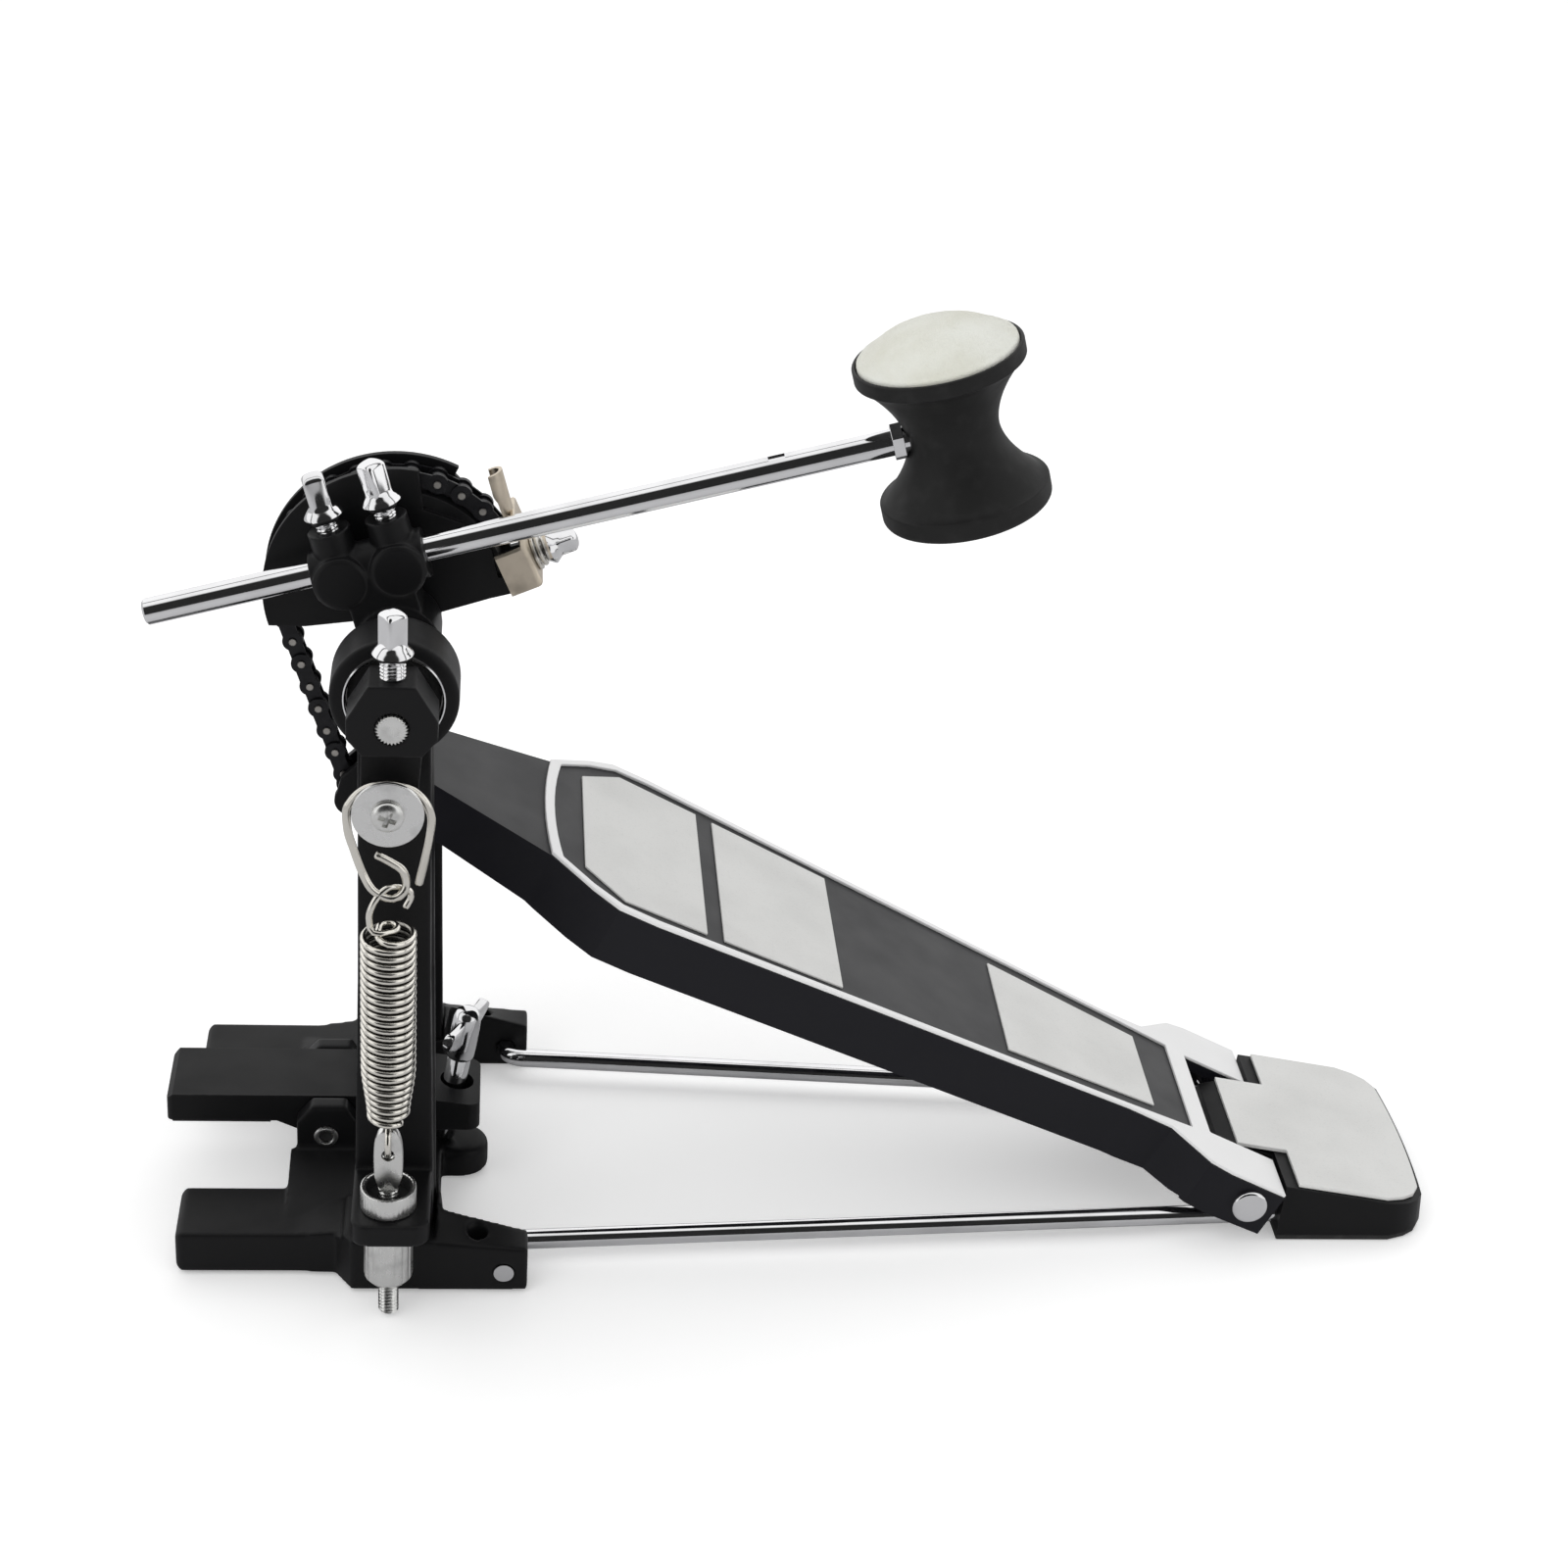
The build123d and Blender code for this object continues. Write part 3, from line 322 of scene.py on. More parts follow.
def coil_wire(name, color, middle):
    """Nickel spring wire, with painted shade on the inside and the underside of the coils. middle is a point of the
    coil axis, metres.
    """
    shader = Shader(name, color, 0.20, 1.0)
    outward = shader.add("ShaderNodeVectorMath", operation="SUBTRACT")
    shader.link(shader.place, outward.inputs[0])
    outward.inputs[1].default_value = middle
    level = shader.add("ShaderNodeVectorMath", operation="MULTIPLY")
    shader.link(outward.outputs[0], level.inputs[0])
    level.inputs[1].default_value = (1, 1, 0)
    unit = shader.add("ShaderNodeVectorMath", operation="NORMALIZE")
    shader.link(level.outputs[0], unit.inputs[0])
    facing = shader.add("ShaderNodeVectorMath", operation="DOT_PRODUCT")
    shader.link(unit.outputs[0], facing.inputs[0])
    shader.link(shader.add("ShaderNodeTexCoord").outputs["Normal"], facing.inputs[1])
    # painted shade on the faces turned towards the coil axis
    inside = shader.remap(facing.outputs["Value"], 0.25, -0.25, 0.0, 1.0)
    lean = shader.add("ShaderNodeSeparateXYZ")
    shader.link(shader.add("ShaderNodeTexCoord").outputs["Normal"], lean.inputs[0])
    # painted shade on the underside of each coil
    under = shader.remap(lean.outputs["Z"], -0.25, -0.6, 0.0, 0.9)
    inside = shader.math("MAXIMUM", inside, under)
    split = shader.add("ShaderNodeSeparateXYZ")
    shader.link(shader.place, split.inputs[0])
    on_coils = shader.remap(split.outputs["Z"], (SPRING_HIGH + 1) * MM, (SPRING_HIGH - 1) * MM, 0.0, 1.0)
    shader.link(shader.math("MULTIPLY", inside, on_coils),
                shader.mix_input("Base Color", color, tuple(0.12 * c for c in color)))
    shader.vary("Roughness", shader.remap(shader.noise(300, 4), 0.35, 0.75, 0.14, 0.3))
    shader.bump(shader.noise(900, 2, (1, 1, 0.03)), 0.000004, 0.25)
    return shader.material


def ground_steel(name, color, roughness, grain_axis=(1, 1, 0.02)):
    """Brushed or zinc-plated steel with a grain and small stains."""
    shader = Shader(name, color, roughness, 1.0)
    grain = shader.noise(1500, 3, grain_axis)
    stain = shader.noise(140, 5)
    shader.vary("Roughness", shader.remap(stain, 0.3, 0.7, roughness - 0.05, roughness + 0.12))
    shader.bump(grain, 0.00001, 0.6)
    dull = tuple(0.62 * c for c in color)
    shader.link(shader.remap(stain, 0.5, 0.8, 0.0, 0.8), shader.mix_input("Base Color", color, dull))
    return shader.material


def rubber(name, color):
    shader = Shader(name, color, 0.75)
    shader.bump(shader.noise(3000, 3), 0.00005, 0.7)
    dust = shader.remap(shader.noise(120, 5), 0.5, 0.75, 0.0, 0.6)
    shader.link(dust, shader.mix_input("Base Color", color, tuple(2.4 * c for c in color)))
    shader.vary("Roughness", shader.remap(shader.noise(200, 4), 0.3, 0.7, 0.65, 0.9))
    return shader.material


def moulded(name, color, roughness):
    """Moulded black plastic with a fine satin texture and faint lighter clouds."""
    shader = Shader(name, color, roughness)
    shader.bump(shader.noise(1800, 3), 0.00003, 0.5)
    shader.bump(shader.noise(25, 2), 0.0008, 0.15)
    shader.put("Specular IOR Level", 0.2)
    shader.vary("Roughness", shader.remap(shader.noise(70, 4), 0.3, 0.7, roughness - 0.05, roughness + 0.1))
    light = tuple(1.7 * c + 0.005 for c in color)
    shader.link(shader.remap(shader.noise(160, 5), 0.5, 0.8, 0, 0.5), shader.mix_input("Base Color", color, light))
    return shader.material


def chain_steel(rivet_plane):
    """Black oiled chain; beyond rivet_plane from the centre plane the rivet ends are bare steel, with painted shade as
    a dark ring along their edges.
    """
    shader = Shader("chain_black", (0.016, 0.016, 0.018), 0.34, 0.55)
    split = shader.add("ShaderNodeSeparateXYZ")
    shader.link(shader.place, split.inputs[0])
    side = shader.math("ABSOLUTE", split.outputs["Y"])
    beyond = shader.math("GREATER_THAN", side, rivet_plane)
    # painted shade: the rivet ends are dark along their edges
    rivet = shader.math("MULTIPLY", beyond, shader.math("SUBTRACT", 1.0, shader.edges(0.0005)))
    shader.link(rivet, shader.mix_input("Base Color", (0.012, 0.012, 0.014), (0.46, 0.44, 0.41)))
    shader.vary("Metallic", shader.remap(rivet, 0, 1, 0.55, 1.0))
    shader.vary("Roughness", shader.remap(shader.noise(500, 4), 0.3, 0.7, 0.24, 0.48))
    shader.bump(shader.noise(1800, 3), 0.00003, 0.5)
    return shader.material


def felt():
    """Pressed wool: matted fibres, soft sheen, faint colour clouds."""
    shader = Shader("felt_cream", (0.80, 0.79, 0.70), 1.0)
    tone = shader.remap(shader.noise(55, 4), 0.35, 0.7, 0.0, 1.0)
    shader.link(tone, shader.mix_input("Base Color", (0.84, 0.85, 0.79), (0.74, 0.74, 0.65)))
    fibres = shader.math("ADD", shader.noise(900, 6, (1, 1, 1), 0.7), shader.noise(2600, 4, (1, 0.25, 1), 0.6))
    shader.bump(fibres, 0.0005, 0.7)
    shader.put("Sheen Weight", 0.6)
    shader.put("Sheen Roughness", 0.4)
    shader.put("Sheen Tint", (1.0, 0.98, 0.92, 1))
    shader.put("Specular IOR Level", 0.15)
    return shader.material


def grip_panel(name, color):
    """Light grip sheet: close grit, faint scuffed patches."""
    shader = Shader(name, color, 0.5)
    grit = shader.noise(1300, 3)
    patch = shader.noise(28, 5)
    dirty = tuple(0.86 * c for c in color)
    speck = shader.math("MULTIPLY", shader.remap(grit, 0.55, 0.75, 0.0, 1.0), 0.5)
    shade = shader.math("ADD", shader.remap(patch, 0.45, 0.75, 0.0, 0.7), speck)
    shader.link(shade, shader.mix_input("Base Color", color, dirty))
    shader.vary("Roughness", shader.remap(patch, 0.3, 0.7, 0.42, 0.62))
    shader.bump(grit, 0.00008, 0.6)
    return shader.material


def silver_paint(name, color, roughness):
    shader = Shader(name, color, roughness, 0.25)
    flake = shader.noise(4200, 2)
    shader.bump(flake, 0.00001, 0.5)
    wear = shader.math("MULTIPLY", shader.edges(0.0005), shader.remap(shader.noise(260, 4), 0.4, 0.7, 0.0, 0.7))
    shader.link(wear, shader.mix_input("Base Color", color, tuple(0.6 * c for c in color)))
    shader.vary("Roughness", shader.remap(shader.noise(80, 4), 0.3, 0.7, roughness - 0.06, roughness + 0.1))
    return shader.material


# ---------------------------------------------------------------- mesh kit, in millimetres
def new_object(name, shape, material, smooth_under=40):
    """Mesh object in the row frame; edges sharper than smooth_under degrees stay crisp."""
    verts, faces = shape
    mesh = bpy.data.meshes.new(name)
    mesh.from_pydata([tuple(Vector(v) * MM) for v in verts], [], faces)
    mesh.materials.append(material)
    obj = bpy.data.objects.new(name, mesh)
    bpy.context.scene.collection.objects.link(obj)
    for face in mesh.polygons:
        face.use_smooth = True
    mesh.set_sharp_from_angle(angle=radians(smooth_under))
    return obj


def piece(name, body, material, shape, *nodes, slot=None):
    """Finished piece of the pedal: it rides a body and hides the CAD nodes it stands for."""
    obj = new_object(name, shape, material)
    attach(obj, body)
    if nodes:
        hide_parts(*nodes)
    return obj


def skin(rings, closed_ends=True):
    """Faces between rings of points of equal length, with flat ends."""
    verts = [point for ring in rings for point in ring]
    sides = len(rings[0])
    faces = []
    for k in range(len(rings) - 1):
        for i in range(sides):
            j = (i + 1) % sides
            faces.append((k * sides + i, k * sides + j, (k + 1) * sides + j, (k + 1) * sides + i))
    if closed_ends:
        faces.append(tuple(reversed(range(sides))))
        faces.append(tuple(range(len(verts) - sides, len(verts))))
    return verts, faces


def lathe(profile, segments, shape=None):
    """Surface turned about local Z. profile is (radius, height) pairs; a zero radius closes an end.
    shape(radius, height, angle) may change the radius."""
    verts, faces, rings = [], [], []
    for radius, height in profile:
        ring = []
        for i in range(segments if radius else 1):
            angle = tau * i / segments
            r = shape(radius, height, angle) if shape and radius else radius
            ring.append(len(verts))
            verts.append(Vector((r * cos(angle), r * sin(angle), height)))
        rings.append(ring)
    for low, high in zip(rings, rings[1:]):
        for i in range(segments):
            j = (i + 1) % segments
            if len(low) == 1:
                faces.append((low[0], high[j], high[i]))
            elif len(high) == 1:
                faces.append((low[i], low[j], high[0]))
            else:
                faces.append((low[i], low[j], high[j], high[i]))
    return verts, faces


def arc(centre_radius, centre_height, radius, start, end, steps=6):
    """Profile points on an arc, angles in degrees from the radial direction."""
    points = []
    for i in range(steps + 1):
        angle = radians(start + (end - start) * i / steps)
        points.append((centre_radius + radius * cos(angle), centre_height + radius * sin(angle)))
    return points


def tube(points, radius, sides=14):
    """Round wire with slightly rounded ends along a list of points; radius may be a list."""
    points = [Vector(p) for p in points]
    sizes = radius if isinstance(radius, list) else [radius] * len(points)
    steps = [(q - p).normalized() for p, q in zip(points, points[1:])]
    tangents = [steps[0]] + [(a + b).normalized() for a, b in zip(steps, steps[1:])] + [steps[-1]]
    normal = tangents[0].orthogonal().normalized()
    sections = []
    for point, tangent, size in zip(points, tangents, sizes):
        normal = (normal - tangent * normal.dot(tangent)).normalized()
        sections.append((point, tangent, normal, size))
    first, last = sections[0], sections[-1]
    ease = 0.35
    sections.insert(0, (first[0] - first[1] * ease * first[3], first[1], first[2], 0.75 * first[3]))
    sections.append((last[0] + last[1] * ease * last[3], last[1], last[2], 0.75 * last[3]))
    rings = []
    for point, tangent, across, size in sections:
        other = tangent.cross(across)
        ring = []
        for i in range(sides):
            angle = tau * i / sides
            ring.append(point + size * (cos(angle) * across + sin(angle) * other))
        rings.append(ring)
    return skin(rings)


def blade(spine, widths, thickness, across, sides=20):
    """Flat, rounded bar along a spine; across is the direction of its thickness."""
    spine = [Vector(p) for p in spine]
    across = Vector(across).normalized()
    rings = []
    for k, (point, width) in enumerate(zip(spine, widths)):
        along = (spine[min(k + 1, len(spine) - 1)] - spine[max(k - 1, 0)]).normalized()
        wide = along.cross(across).normalized()
        ring = []
        for i in range(sides):
            angle = tau * i / sides
            c, s = cos(angle), sin(angle)
            ring.append(point + width * abs(c) ** 0.6 * (1 if c > 0 else -1) * wide
                        + thickness * abs(s) ** 0.6 * (1 if s > 0 else -1) * across)
        rings.append(ring)
    return skin(rings)


def spline(points, steps=8):
    """Smooth path through the points."""
    points = [Vector(p) for p in points]
    ends = [2 * points[0] - points[1]] + points + [2 * points[-1] - points[-2]]
    path = []
    for a, b, c, d in zip(ends, ends[1:], ends[2:], ends[3:]):
        for i in range(steps):
            t = i / steps
            path.append(0.5 * (2 * b + t * (c - a) + t * t * (2 * a - 5 * b + 4 * c - d)
                               + t ** 3 * (3 * b - a - 3 * c + d)))
    return path + [points[-1]]


def stand(origin, direction, turn=0.0):
    """Matrix that puts local Z along a direction at a point."""
    tilt = Vector(direction).to_track_quat("Z", "Y").to_matrix().to_4x4()
    return Matrix.Translation(Vector(origin)) @ tilt @ Matrix.Rotation(radians(turn), 4, "Z")


def upright(origin, direction, turn=0.0):
    """As stand, with local X as near the pedal's length as it can be before the turn."""
    z = Vector(direction).normalized()
    x = (Vector((1, 0, 0)) - z * z.x).normalized()
    frame_axes = Matrix((x, z.cross(x), z)).transposed().to_4x4()
    return Matrix.Translation(Vector(origin)) @ frame_axes @ Matrix.Rotation(radians(turn), 4, "Z")


def placed(shape, matrix):
    verts, faces = shape
    return [matrix @ Vector(v) for v in verts], faces


def join(*shapes):
    """One vertex and face list from several."""
    verts, faces = [], []
    for more_verts, more_faces in shapes:
        faces += [tuple(i + len(verts) for i in face) for face in more_faces]
        verts += list(more_verts)
    return verts, faces


def threaded(radius, low, high, pitch=1.0, depth=0.5, segments=32):
    """Rod with a helical thread."""
    def ridge(r, height, angle):
        phase = (height / pitch - angle / tau) % 1
        return r - depth * abs(2 * phase - 1)
    rows = int((high - low) / pitch * 6)
    profile = [(0, low)] + [(radius, low + (high - low) * i / rows) for i in range(rows + 1)] + [(0, high)]
    return lathe(profile, segments, ridge)


def squareness(angle, power=9):
    """How much farther than its half width a rounded square reaches at an angle."""
    return 1 / (abs(cos(angle)) ** power + abs(sin(angle)) ** power) ** (1 / power)


# ---------------------------------------------------------------- screws
KEY_HALF = 3.3             # half of the drum-key square


def key_head(base, height=9.6):
    """Collar with two cones and a rounded square head with a domed top; base is the collar's lower edge."""
    square_from, square_at = base + 4.6, base + 6.2
    dome = 1.9
    top = square_at + height - 0.1

    def to_square(r, z, angle):
        share = min(1, max(0, (z - square_from) / (square_at - square_from)))
        share *= 1 - 0.6 * max(0, (z - top + dome) / dome)
        return r * (1 - share + share * squareness(angle, 7))
    profile = [(0, base), (3.4, base), (4.2, base + 0.25), (5.7, base + 2.1), (5.95, base + 2.5), (5.8, base + 2.9)]
    profile += [(4.9, base + 4.0), (4.35, square_from), (3.75, base + 5.2), (KEY_HALF, square_at)]
    for i in range(8):
        angle = radians(11.5 * i)
        profile.append((KEY_HALF * cos(angle) ** 0.7, top - dome + dome * sin(angle)))
    return lathe(profile + [(0, top)], 64, to_square)


def key_screw(length, thread_r):
    """Drum-key screw standing on its tip."""
    return join(threaded(thread_r, 0, length + 0.3, 1.1, 0.45), key_head(length))


def clamp_screws(material):
    """Two screws of the beater clamp and the one on the rocker."""
    rod_gap, axle_gap = 4.3, 5.2
    for joint, body, node, turn in (("hub_screw_rear_turn", "hub_screw_1", "hub_screw_rear", 10),
                                    ("hub_screw_front_turn", "hub_screw_2", "hub_screw_front", 45)):
        matrix = stand(pivot(joint), axis(joint), turn) @ Matrix.Translation((0, 0, rod_gap))
        piece(node + "_key", body, material, placed(key_screw(11.0, 3.4), matrix), node)
    foot = Vector((0, pivot("rocker_screw_turn").y, pivot("drive_turn").z + axle_gap))
    matrix = stand(foot, (0, 0, 1), 35)
    piece("rocker_screw_key", "rocker_key", material, placed(key_screw(13.0, 3.8), matrix), "rocker_screw")


def chain_screw(material, washer_material):
    """Key screw through the bracket, and the flat and spring washers under it."""
    matrix = upright(pivot("chain_bolt_turn"), axis("chain_bolt_turn"), 20)
    slim = 0.9
    head_verts, head_faces = key_head(0.0, 5.0)
    head = [Vector((slim * v.x, slim * v.y, v.z)) for v in head_verts], head_faces
    screw = join(threaded(2.4, -23.0, 0.3, 0.8, 0.35), head)
    piece("chain_screw", "chain_key", material, placed(screw, matrix), "chain_bolt")
    coil = []
    steps, turns = 40, 0.93
    for i in range(steps + 1):
        angle = tau * turns * i / steps
        coil.append((4.2 * cos(angle), 4.2 * sin(angle), -1.05 + 0.5 * i / steps))
    flat = lathe([(2.7, -2.7), (5.3, -2.7), (5.5, -2.5), (5.5, -1.9), (5.3, -1.7), (2.7, -1.7), (2.7, -2.7)], 48)
    piece("spring_washer", "drive", washer_material, placed(join(flat, tube(coil, 0.7)), matrix), "chain_bolt_washer")


def sheet(line, low, top, thickness):
    """Bent sheet along a line of (x, y) points; low and top(x, y) are its lower and upper edges."""
    line = [Vector((x, y, 0)) for x, y in line]
    half, round_off = thickness / 2, 0.5
    rings = []
    for k, point in enumerate(line):
        along = (line[min(k + 1, len(line) - 1)] - line[max(k - 1, 0)]).normalized()
        out = Vector((along.y, -along.x, 0))
        high = top(point.x, point.y)
        ring = []
        for side, z in ((-1, low + 2 * round_off), (-1, low + round_off), (-0.5, low), (0.5, low), (1, low + round_off),
                        (1, low + 2 * round_off), (1, high - 2 * round_off), (1, high - round_off), (0.5, high),
                        (-0.5, high), (-1, high - round_off), (-1, high - 2 * round_off)):
            ring.append(point + side * half * out + Vector((0, 0, z)))
        rings.append(ring)
    return skin(rings)


def clamp_bracket(material):
    """Bent bracket at the chain's end: a plate with a folded side and a curled tongue."""
    out = axis("chain_bolt_turn")
    across = Vector((0, 1, 0))
    upward = out.cross(across)
    bolt_out, bolt_up = 45.0, -6.2
    origin = pivot("chain_bolt_turn") - bolt_out * out - bolt_up * upward
    matrix = Matrix.Translation(origin) @ Matrix((out, across, upward)).transposed().to_4x4()
    plate_x, side_y, bend = 41.4, -9.4, 1.1
    fold = [(32.0 + 0.9 * i, side_y) for i in range(9)]
    for i in range(7):
        angle = radians(-90 + 15 * i)
        fold.append((plate_x - bend + bend * cos(angle), side_y + bend + bend * sin(angle)))
    fold += [(plate_x, side_y + bend + 0.6 * i) for i in range(1, 30)]

    def upper_edge(x, y):
        climb = min(1, max(0, (y - side_y) / 1.6))
        corner = max(0, y - 7.6)
        return 1.0 + 9.0 * climb ** 0.5 - 0.25 * corner ** 2
    folded = sheet(fold, -13.0, upper_edge, 1.5)
    curl_r, curl_low, curl_high = 3.5, 8.0, 23.0
    rows, steps = 14, 18
    rings = []
    for k in range(rows + 1):
        t = k / rows
        z = curl_low + (curl_high - curl_low) * t
        centre_x = plate_x - 1.2 + 2.2 * t
        open_angle = 170 - 62 * min(1, 2.5 * t)
        ring = []
        for radius, order in ((curl_r, range(steps + 1)), (curl_r - 1.1, range(steps, -1, -1))):
            for i in order:
                angle = radians(-open_angle + 2 * open_angle * i / steps) * min(1, 0.45 + t)
                ring.append(Vector((centre_x - curl_r + 1.4 + radius * cos(angle), radius * sin(angle), z)))
        rings.append(ring)
    piece("clamp_bracket", "drive", material, placed(join(folded, skin(rings)), matrix), "chain_bracket")


def crossed_screw(material):
    """Pan-head screw with a cross recess."""
    low, high = span("crank_screw")
    radius, height, rim = 4.8, 2.5, 0.7
    arm, half_width, recess = 2.6, 0.75, 1.9
    rings, segments = 44, 120
    profile = [(2.5, high.y - low.y), (2.5, height), (radius - 0.2, height), (radius, height - 0.2)]
    profile += [(radius * (1 - (i / rings) ** 1.5), height) for i in range(rings)]
    profile = profile[:4] + [(radius * (1 - i / rings), 0) for i in range(rings)] + [(0, 0)]
    verts, faces = lathe(profile, segments)
    shaped = []
    for point in verts:
        if point.z > 0:
            shaped.append(point)
            continue
        r = point.xy.length
        crown = (height - rim) * (1 - max(0, 1 - (r / radius) ** 3) ** 0.5)
        along, beside = max(abs(point.x), abs(point.y)), min(abs(point.x), abs(point.y))
        wall = min(half_width - beside, arm - along)
        dig = recess * min(1, max(0, wall / 0.25)) * (1 - 0.35 * along / arm)
        shaped.append(Vector((point.x, point.y, crown + dig)))
    place = pivot("crank_screw_turn")
    matrix = stand((place.x, low.y, place.z), (0, 1, 0), 20)
    piece("crossed_screw", "crank_key", material, placed((shaped, faces), matrix), "crank_screw")


def hollow_pin(material, dark_material):
    """Clamp pivot pin with a socket in its near end; the socket's floor is a dark piece, painted shade."""
    low, high = span("clamp_pivot_pin")
    middle = (low + high) / 2
    matrix = stand((middle.x, low.y, middle.z), (0, 1, 0))
    ring = [(2.35, 1.4), (2.3, 0.15), (2.6, -0.1), (3.4, -0.1), (3.85, 0.25), (3.9, 0.8), (3.0, 0.9), (3.0, high.y - low.y - 0.3),
            (2.7, high.y - low.y), (0, high.y - low.y)]
    piece("hollow_pin", "frame", material, placed(lathe(ring, 64), matrix), "clamp_pivot_pin")
    # painted shade: a dark piece makes the floor of the socket
    socket = lathe([(0, 1.2), (1.2, 1.2), (2.4, 1.0), (2.4, 1.5), (0, 1.6)], 6)
    piece("pin_socket_shade", "frame", dark_material, placed(socket, matrix), slot="post_bolts")


# ---------------------------------------------------------------- spring side
WIRE = 0.98
COIL_R = 7.4
COILS = 26
SPRING_LOW, SPRING_HIGH = 75.5, 140.5


def helix(middle, radius_from, radius_to, z_from, z_to, start, turns, steps=26):
    """Points on a coil about a vertical line; the radius eases from one value to the other."""
    points = []
    rows = max(2, int(turns * steps))
    for i in range(1, rows + 1):
        t = i / rows
        ease = t * t * (3 - 2 * t)
        r = radius_from + (radius_to - radius_from) * ease
        angle = start + tau * turns * t
        points.append(Vector((middle.x + r * cos(angle), middle.y + r * sin(angle), z_from + (z_to - z_from) * t)))
    return points


def return_spring(material):
    """Close-wound return spring: hook, small ring, coils, taper and the ring through the eyebolt."""
    middle = pivot("spring_swing")
    slant = 0.45
    hook = [(4.0, 148.1), (5.4, 151.1), (4.6, 153.7), (-0.2, 155.9), (-3.9, 153.6), (-6.3, 148.6), (-6.2, 143.6)]
    path = spline([(px, middle.y + slant * (px - middle.x), pz) for px, pz in hook], 10)
    ring_r, ring_z, ring_turns, grow_turns = 2.65, 142.3, 0.71, 0.3
    start = radians(206)
    path += helix(middle, 5.7, ring_r, 142.6, ring_z, start, 0.22)
    start += tau * 0.22
    path += helix(middle, ring_r, ring_r, ring_z, ring_z + 0.1, start, ring_turns)
    start += tau * ring_turns
    path += helix(middle, ring_r, COIL_R, ring_z, SPRING_HIGH, start, grow_turns)
    start += tau * grow_turns
    taper_turns, foot_r = 7.5, 5.6
    pitch = (SPRING_HIGH - SPRING_LOW) / COILS
    straight = COILS - taper_turns
    taper_from = SPRING_HIGH - straight * pitch
    path += helix(middle, COIL_R, COIL_R, SPRING_HIGH, taper_from, start, straight)
    start += tau * straight
    path += helix(middle, COIL_R, foot_r, taper_from, SPRING_LOW, start, taper_turns)
    start += tau * taper_turns
    path += helix(middle, foot_r, 0.6, SPRING_LOW, SPRING_LOW - 3.0, start, 0.35)
    hook_r = 4.5
    for k in range(22):
        turn = radians(100 + 14.5 * k)
        path.append(Vector((middle.x, middle.y + hook_r * cos(turn), middle.z + 4.9 + hook_r * sin(turn))))
    spring = new_object("return_spring", tube(path, WIRE, 12), material)
    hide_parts("tension_spring", "spring_lower_hook")
    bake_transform(spring)


def stirrup_wire(material):
    """Bent wire from the crank down to the spring's hook."""
    y = pivot("hanger_turn").y
    points = [(7.8, 157.6), (9.2, 164.2), (10.6, 171.5)]
    for angle in range(0, 171, 15):
        turn = radians(angle)
        points.append((-1.0 + 12.3 * cos(turn), 177.95 + 12.3 * sin(turn)))
    points += [(-12.5, 174.5), (-11.0, 168.9), (-8.4, 160.8), (-5.3, 155.3), (-0.3, 152.7), (3.1, 154.5), (4.2, 157.7),
               (3.1, 161.7), (-0.2, 164.4), (-4.2, 166.8)]
    path = spline([(px, y - (0.8 if pz < 156 else 0), pz) for px, pz in points], 5)
    piece("stirrup_wire", "hanger", material, tube(path, 1.25, 14), "stirrup")


def fluted(count, depth, low, high):
    """Radius rule: vertical flutes between two heights."""
    def rule(r, z, angle):
        if low <= z <= high:
            return r - depth * (0.5 - 0.5 * cos(count * angle)) ** 3
        return r
    return rule


def tension_nuts(material, dark_disc_material):
    """Cup-shaped lock nut with a dark disc inside its cup, above the lug, and the long nut below it; both lightly
    fluted.
    """
    place = pivot("tension_turn")
    matrix = Matrix.Translation((place.x, place.y, 0))
    low, high = span("lock_nut")
    radius = 8.6
    cup = [(3.3, low.z), (radius - 0.4, low.z), (radius, low.z + 0.4), (radius, high.z - 0.4), (radius - 0.15, high.z - 0.1),
           (radius - 0.5, high.z), (radius - 0.9, high.z - 0.1), (radius - 1.1, high.z - 0.4), (radius - 1.2, low.z + 2.4),
           (3.3, low.z + 2.4), (3.3, low.z)]
    piece("cup_nut", "locker", material, placed(lathe(cup, 216, fluted(36, 0.07, low.z + 0.4, high.z - 0.4)), matrix), "lock_nut")
    # a dark disc lies inside the cup, below its rim
    floor_z = low.z + 3.2
    dark_disc = [(3.25, floor_z), (6.7, floor_z), (6.9, floor_z + 0.3), (6.95, high.z - 0.5), (radius - 1.1, high.z - 0.5),
             (radius - 1.1, low.z + 2.5), (3.25, low.z + 2.5), (3.25, floor_z)]
    piece("cup_dark_disc", "locker", dark_disc_material, placed(lathe(dark_disc, 64), matrix), slot="jaw_pad")
    low, high = span("tension_nut")
    long = [(3.3, low.z), (5.4, low.z), (5.9, low.z + 0.2), (7.4, low.z + 2.0), (7.6, low.z + 2.6), (7.6, high.z - 0.5),
            (7.3, high.z), (3.3, high.z), (3.3, low.z)]
    piece("long_nut", "adjuster", material, placed(lathe(long, 216, fluted(18, 0.3, low.z + 2.6, high.z - 0.5)), matrix),
          "tension_nut")


